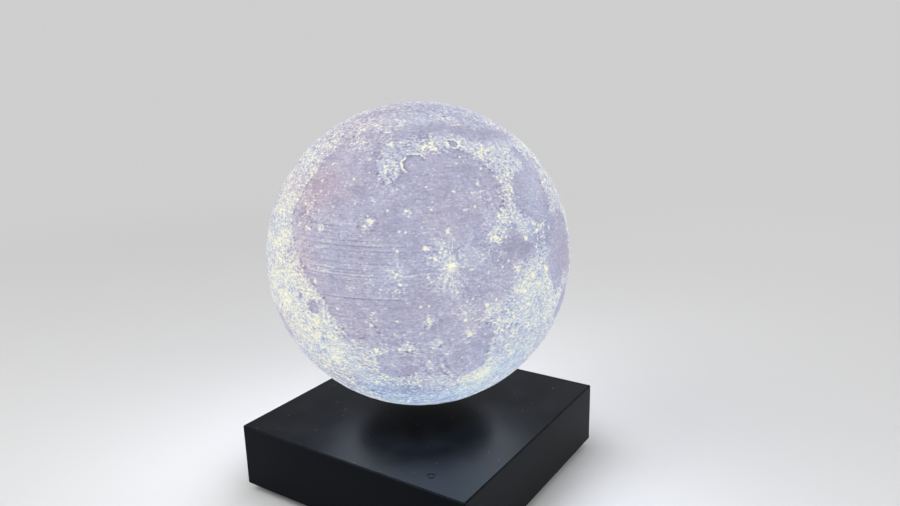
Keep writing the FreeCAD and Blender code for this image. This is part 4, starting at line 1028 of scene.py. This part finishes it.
def sculpt_crater(rays, place, diameter, fresh, height, shine, hollow):
    """Sinks one crater into height, in mm, lights up its rim in shine and darkens its walls in hollow."""
    radius = diameter * KM / MOON_RADIUS / 2
    near = np.nonzero(rays @ place > math.cos(min(2.4 * radius, 3.0)))[0]
    t = np.arccos(np.clip(rays[near] @ place, -1, 1)) / radius
    # Larger and fresher craters are deeper. The rim is at 1 radius, and its foot reaches out to 2.4.
    depth = min(0.10 + 0.0026 * diameter, 0.42) * (0.55 + 0.45 * fresh)
    bowl = np.where(t < 1, np.minimum(1.0, 1.35 * (1 - t ** 3)), 0.0)
    rim = bell(t - 1.02, 0.17) + 0.25 * bell(t - 1.2, 0.4)
    peak = bell(t, 0.16) if diameter > 60 and fresh > 0.3 else 0.0
    height[near] += depth * (0.45 * rim + 0.4 * peak - bowl)
    glow = fresh * (0.75 * bell(t - 1.0, 0.22) + 0.3 * peak)
    if fresh > 0.75:
        glow += 0.5 * (fresh - 0.5) * bell(t, 1.2)
    else:
        wall = 0.62 if diameter < 60 else 0.84
        hollow[near] = np.maximum(hollow[near], (0.2 + 0.8 * fresh) * bell(t - wall, 0.14))
    shine[near] = np.maximum(shine[near], glow)


def sculpt_craters(rays, plain, height, shine, hollow):
    """The craters of CATALOGUE, and random small ones on the land."""
    for latitude, longitude, diameter, fresh in CATALOGUE:
        sculpt_crater(rays, towards(latitude, longitude), diameter, fresh, height, shine, hollow)
    draw = np.random.default_rng(1969)
    for _ in range(RANDOM_CRATERS):
        place = draw.normal(size=3)
        place /= np.linalg.norm(place)
        diameter = SMALLEST * (1 - draw.uniform(0, 0.985)) ** -0.42
        fresh = draw.uniform(0.1, 0.5)
        if plain[np.argmax(rays @ place)] < 0.4:
            sculpt_crater(rays, place, min(diameter, LARGEST), fresh, height, shine, hollow)


def rays_of(rays, latitude, longitude, reach, strength, count, seed):
    """Brightness of a young crater's rays: streaks that thin out with distance."""
    away = degrees_from(rays, latitude, longitude)
    bearing = np.radians(bearing_from(rays, latitude, longitude))
    draw = np.random.default_rng(seed)
    streaks = np.zeros(len(rays))
    for _ in range(count):
        direction = draw.uniform(-math.pi, math.pi)
        width = draw.uniform(0.035, 0.13)
        length = reach * draw.uniform(0.45, 1.0)
        off = np.angle(np.exp(1j * (bearing - direction)))
        streaks = np.maximum(streaks, bell(off, width) * np.clip(1 - away / length, 0, 1) ** 0.8)
    return strength * np.maximum(0.8 * bell(away, 0.20 * reach), streaks)


def shape_map(rays):
    """Height in mm over the plain sphere, and the values of MARKS, for every direction."""
    plain, edge = plains_mask(rays)
    land = 1 - plain
    rolling = cloud(rays, 5.0, 5, 0.4)
    rugged = cloud(rays, 24.0, 4, 5.5)
    fine = cloud(rays, 60.0, 2, 7.7)
    height = land * (0.10 + 0.10 * rolling + 0.13 * rugged) - 0.16 * plain
    height += plain * 0.025 * cloud(rays, 14.0, 3, 9.4)
    shine, spark, veil, dusk = np.zeros((4, len(rays)))
    hollow = 1.8 * edge * np.clip(0.40 + 2.8 * cloud(rays, 40.0, 2, 1.9), 0, 1)
    sculpt_craters(rays, plain, height, shine, hollow)
    shine *= 0.55

    # Mountains, and small bright and dark spots.
    ragged = np.clip(0.80 + 0.55 * rugged + 0.6 * fine, 0.15, 1.15)
    for latitude, longitude, radius, width, lift, bright in RINGS:
        crest = bell(degrees_from(rays, latitude, longitude) - radius + 0.5 * rugged, width)
        height += 0.26 * lift * crest * (0.75 + 0.5 * rugged)
        shine = np.maximum(shine, bright * crest * ragged)
    for width, bright, places in RIDGES.values():
        away = np.full(len(rays), 90.0)
        for first, last in zip(places, places[1:]):
            away = np.minimum(away, degrees_from_line(rays, first, last))
        crest = bell(np.maximum(away + 0.35 * width * fine, 0), width)
        height += 0.16 * crest
        hollow = np.maximum(hollow, 0.6 * bright * bell(away - 2.0 * width, 0.6 * width))
        shine = np.maximum(shine, bright * crest * ragged)
    for latitude, longitude, radius, bright in SPOTS:
        away = degrees_from(rays, latitude, longitude) * (1 + 0.35 * fine)
        spark = np.maximum(spark, bright * smooth(away, 1.25 * radius, 0.35 * radius))
    for latitude, longitude, radius in DARK_PITS:
        away = degrees_from(rays, latitude, longitude) * (1 + 0.35 * fine)
        hollow = np.maximum(hollow, 0.9 * smooth(away, 1.3 * radius, 0.4 * radius))
    for seed, crater in enumerate(RAYED):
        streaks = rays_of(rays, *crater, seed)
        veil = np.maximum(veil, 2 * streaks * np.clip(0.75 + 0.5 * rugged + 0.4 * fine, 0.2, 1))
    for latitude, longitude, radius in DARK_FLOORS:
        away = degrees_from(rays, latitude, longitude)
        dusk = np.maximum(dusk, smooth(away, radius + 0.2, radius - 0.4))

    # How rough and bright the ground is, how warm or cold the painted room light tints it, and how the far
    # side differs.
    rougher = spread(rays, ROUGHER)
    rough = 0.82 * land + 0.10 * plain + rougher + 0.12 * cloud(rays, 7.0, 3, 2.2) - 0.6 * dusk
    glow = 0.45 * land + 0.178 * plain + spread(rays, GLOWING) + 0.05 * cloud(rays, 8.0, 3, 4.7)
    glow += 0.26 * plain * np.clip(rougher, 0, 1) * np.clip(0.8 + 1.2 * rugged, 0, 2)
    warmth = 0.54 - 0.06 * land + spread(rays, WARMED_BY_ROOM_LIGHT) + 0.12 * cloud(rays, 4.0, 3, 6.6)
    behind = smooth(degrees_from(rays, 5, -25), 80, 115) * land
    rough -= behind * (0.20 + 0.14 * cloud(rays, 2.6, 3, 1.2))
    glow += behind * (0.13 * cloud(rays, 2.2, 4, 3.3) + 0.05 * rolling)
    shine *= 1 + 0.9 * behind
    rough, glow, warmth = (np.clip(values, 0, 1) for values in (rough, glow, warmth))
    hollow = np.clip(hollow, 0, 1) * (1 - np.clip(1.5 * shine, 0, 1))
    layered = smooth(degrees_from(rays, 7, -58), 30, 16)
    marks = (rough, glow, np.clip(shine, 0, 1), spark, veil, hollow, warmth, dusk, layered)
    return height, dict(zip(MARKS, marks))


# ---------------------------------------------------------------- the globe
ICO_DIVISIONS, EXTRA_CUTS = 6, 2       # how fine the globe's mesh is
INNER_STEPS = 13                       # rings of faces on its inner wall
FRONT = Vector((0.58, -0.78, 0.22))    # the side of the globe that faces the viewer
CROWDING = 0.5                         # 0 spreads the mesh evenly, and nearer 1 crowds it to the front
HIGHEST, DEEPEST = 0.30, -0.90         # limits of the relief in mm; the highest is at MOON_RADIUS


def deselect_all():
    for thing in bpy.context.selected_objects:
        thing.select_set(False)


def vertex_places(thing):
    places = np.zeros(len(thing.data.vertices) * 3)
    thing.data.vertices.foreach_get("co", places)
    return places.reshape(-1, 3)


def move_vertices(thing, places):
    thing.data.vertices.foreach_set("co", places.ravel())
    thing.data.update()


def add_ring(radius, z):
    """Extrudes the selected loop of edges and brings the new one to a radius and a height."""
    mesh = bpy.context.edit_object.data
    bpy.ops.mesh.extrude_region_move()
    bpy.ops.object.mode_set(mode="OBJECT")
    for vertex in mesh.vertices:
        if vertex.select:
            flat = vertex.co.xy.normalized() * radius
            vertex.co = (flat.x, flat.y, z)
    bpy.ops.object.mode_set(mode="EDIT")


def crowd_to_front(rays):
    """Draws directions together towards the front, where the globe's detail is finest."""
    front = np.array(FRONT.normalized())
    ahead = rays @ front
    share = 1 + CROWDING * ahead
    across = rays - ahead[:, None] * front
    return (across * math.sqrt(1 - CROWDING ** 2) + (ahead + CROWDING)[:, None] * front) / share[:, None]


def hollow_globe():
    """A smooth globe that is cut flat below, open there, and has an inner wall."""
    deselect_all()
    bpy.ops.mesh.primitive_ico_sphere_add(
        subdivisions=ICO_DIVISIONS, radius=MOON_RADIUS, location=MOON_CENTRE,
    )
    globe = bpy.context.object
    bpy.ops.object.transform_apply(location=True, rotation=True, scale=True)
    bpy.ops.object.mode_set(mode="EDIT")
    bpy.ops.mesh.select_all(action="SELECT")
    bpy.ops.mesh.subdivide(number_cuts=EXTRA_CUTS)
    bpy.ops.object.mode_set(mode="OBJECT")
    rays = vertex_places(globe) - np.array(MOON_CENTRE)
    rays = crowd_to_front(rays / np.linalg.norm(rays, axis=1)[:, None])
    move_vertices(globe, np.array(MOON_CENTRE) + rays * MOON_RADIUS)
    bpy.ops.object.mode_set(mode="EDIT")
    bpy.ops.mesh.select_all(action="SELECT")
    bpy.ops.mesh.bisect(plane_co=(0, 0, FLAT_Z), plane_no=(0, 0, 1), clear_inner=True)
    bpy.ops.mesh.select_all(action="DESELECT")
    bpy.ops.mesh.select_non_manifold()
    add_ring(OPENING_RADIUS, FLAT_Z)
    inner = MOON_RADIUS - SHELL_WALL
    start = math.asin(OPENING_RADIUS / inner)
    for i in range(INNER_STEPS):
        angle = start + (math.pi - start) * i / INNER_STEPS
        add_ring(inner * math.sin(angle), MOON_CENTRE.z - inner * math.cos(angle))
    bpy.ops.mesh.extrude_region_move()
    bpy.ops.mesh.merge(type="CENTER")
    bpy.ops.mesh.select_all(action="SELECT")
    bpy.ops.mesh.normals_make_consistent(inside=False)
    bpy.ops.object.mode_set(mode="OBJECT")
    return globe


def moon_globe():
    """The printed shell: relief outside, a smooth wall inside, and the opening for the puck."""
    globe = hollow_globe()
    globe.name = "moon_globe"
    points = vertex_places(globe)
    rays = points - np.array(MOON_CENTRE)
    distance = np.linalg.norm(rays, axis=1)
    outer = distance > MOON_RADIUS - 0.4 * SHELL_WALL
    rays /= distance[:, None]
    turn = np.array(Matrix.Rotation(-math.radians(ZERO_MERIDIAN), 3, "Z"))
    height, marks = shape_map(rays[outer] @ turn.T)
    sunk = (np.clip(height, DEEPEST, HIGHEST) - HIGHEST) * MM
    sunk *= smooth(points[outer, 2], FLAT_Z + 0.2 * MM, FLAT_Z + 2.0 * MM)    # none at the flat bottom
    points[outer] += rays[outer] * sunk[:, None]
    move_vertices(globe, points)
    for name, values in marks.items():
        layer = globe.data.attributes.new(name, "FLOAT", "POINT")
        every = np.zeros(len(points))
        every[outer] = values
        layer.data.foreach_set("value", every)
    bpy.ops.object.shade_smooth_by_angle(angle=math.radians(40))
    globe.data.materials.append(finishes["moon_print"])
    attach(globe, "moon")
    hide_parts("moon_shell")


# ---------------------------------------------------------------- the stage
LAMP_AIM = Vector((0, 0, 0.08))        # where all lamps point
AMBIENT = 0.50                         # how much light the pale surroundings give
CLEAR_FLOOR, LOST_FLOOR = 0.22, 0.95   # how far out the floor starts to fade and is gone, in metres


def photo_camera():
    """The camera of the photograph, fitted to the base's corners and the globe's outline."""
    place = Vector((210.4, -292.4, 213.5)) * MM
    yaw, dip, roll = math.radians(33.31), math.radians(14.69), math.radians(-1.34)
    focal_pixels, photo_width = 740.3, 900
    ahead = Vector((-math.sin(yaw) * math.cos(dip), math.cos(yaw) * math.cos(dip), -math.sin(dip)))
    level = Vector((math.cos(yaw), math.sin(yaw), 0))
    above = level.cross(ahead)
    right = level * math.cos(roll) + above * math.sin(roll)
    up = above * math.cos(roll) - level * math.sin(roll)
    data = bpy.data.cameras.new("photo_camera")
    data.sensor_width = 36
    data.lens = focal_pixels / photo_width * data.sensor_width
    data.clip_start, data.clip_end = 0.02, 60
    camera = bpy.data.objects.new("photo_camera", data)
    camera.matrix_world = Matrix.Translation(place) @ Matrix((right, up, -ahead)).transposed().to_4x4()
    bpy.context.collection.objects.link(camera)
    bpy.context.scene.camera = camera


def pale_floor():
    """A plain floor that keeps the lamp's shadow, and farther out fades into the pale backdrop."""
    deselect_all()
    bpy.ops.mesh.primitive_circle_add(vertices=96, radius=14, fill_type="NGON")
    floor = bpy.context.object
    floor.name = "floor"
    material, net, shader = new_material("floor")
    net.fill(shader, {"Base Color": (0.62, 0.62, 0.62), "Roughness": 0.9})
    far = net.step(net.vector("LENGTH", net.place()), CLEAR_FLOOR, LOST_FLOOR)
    pale = net.add("Emission", {"Color": (PALE, PALE, PALE), "Strength": 1.0})
    faded = net.times(far, net.seen_directly())
    both = net.add("MixShader", {0: faded, 1: shader.outputs[0], 2: pale.outputs[0]})
    output = next(n for n in material.node_tree.nodes if n.type == "OUTPUT_MATERIAL")
    net.feed(output.inputs["Surface"], both.outputs[0])
    floor.data.materials.append(material)


def soft_lamp(name, place, width, power):
    """A round area lamp."""
    data = bpy.data.lights.new(name, "AREA")
    data.shape = "DISK"
    data.size = width
    data.energy = power
    lamp = bpy.data.objects.new(name, data)
    lamp.location = place
    lamp.rotation_mode = "QUATERNION"
    lamp.rotation_quaternion = (LAMP_AIM - Vector(place)).to_track_quat("-Z", "Y")
    bpy.context.collection.objects.link(lamp)


def studio_world():
    """Surroundings that look as pale as the floor's end, and give a little less light than that."""
    world = bpy.data.worlds.new("studio")
    bpy.context.scene.world = world
    world.use_nodes = True
    world.node_tree.nodes.clear()
    net = Net(world.node_tree)
    strength = net.blend(net.seen_directly(), AMBIENT, PALE)
    sky = net.add("Background", {"Color": (1.0, 1.0, 1.0), "Strength": strength})
    net.add("OutputWorld", {"Surface": sky.outputs[0]})


photo_camera()
pale_floor()
studio_world()
soft_lamp("key", (-0.55, -0.75, 1.05), 0.9, 9.0)
soft_lamp("fill", (0.95, -0.35, 0.6), 1.0, 4.0)
soft_lamp("back", (0.1, 1.1, 0.8), 0.9, 4.0)

dress_nodes()
moon_globe()

scene = bpy.context.scene
scene.view_settings.view_transform = "Standard"
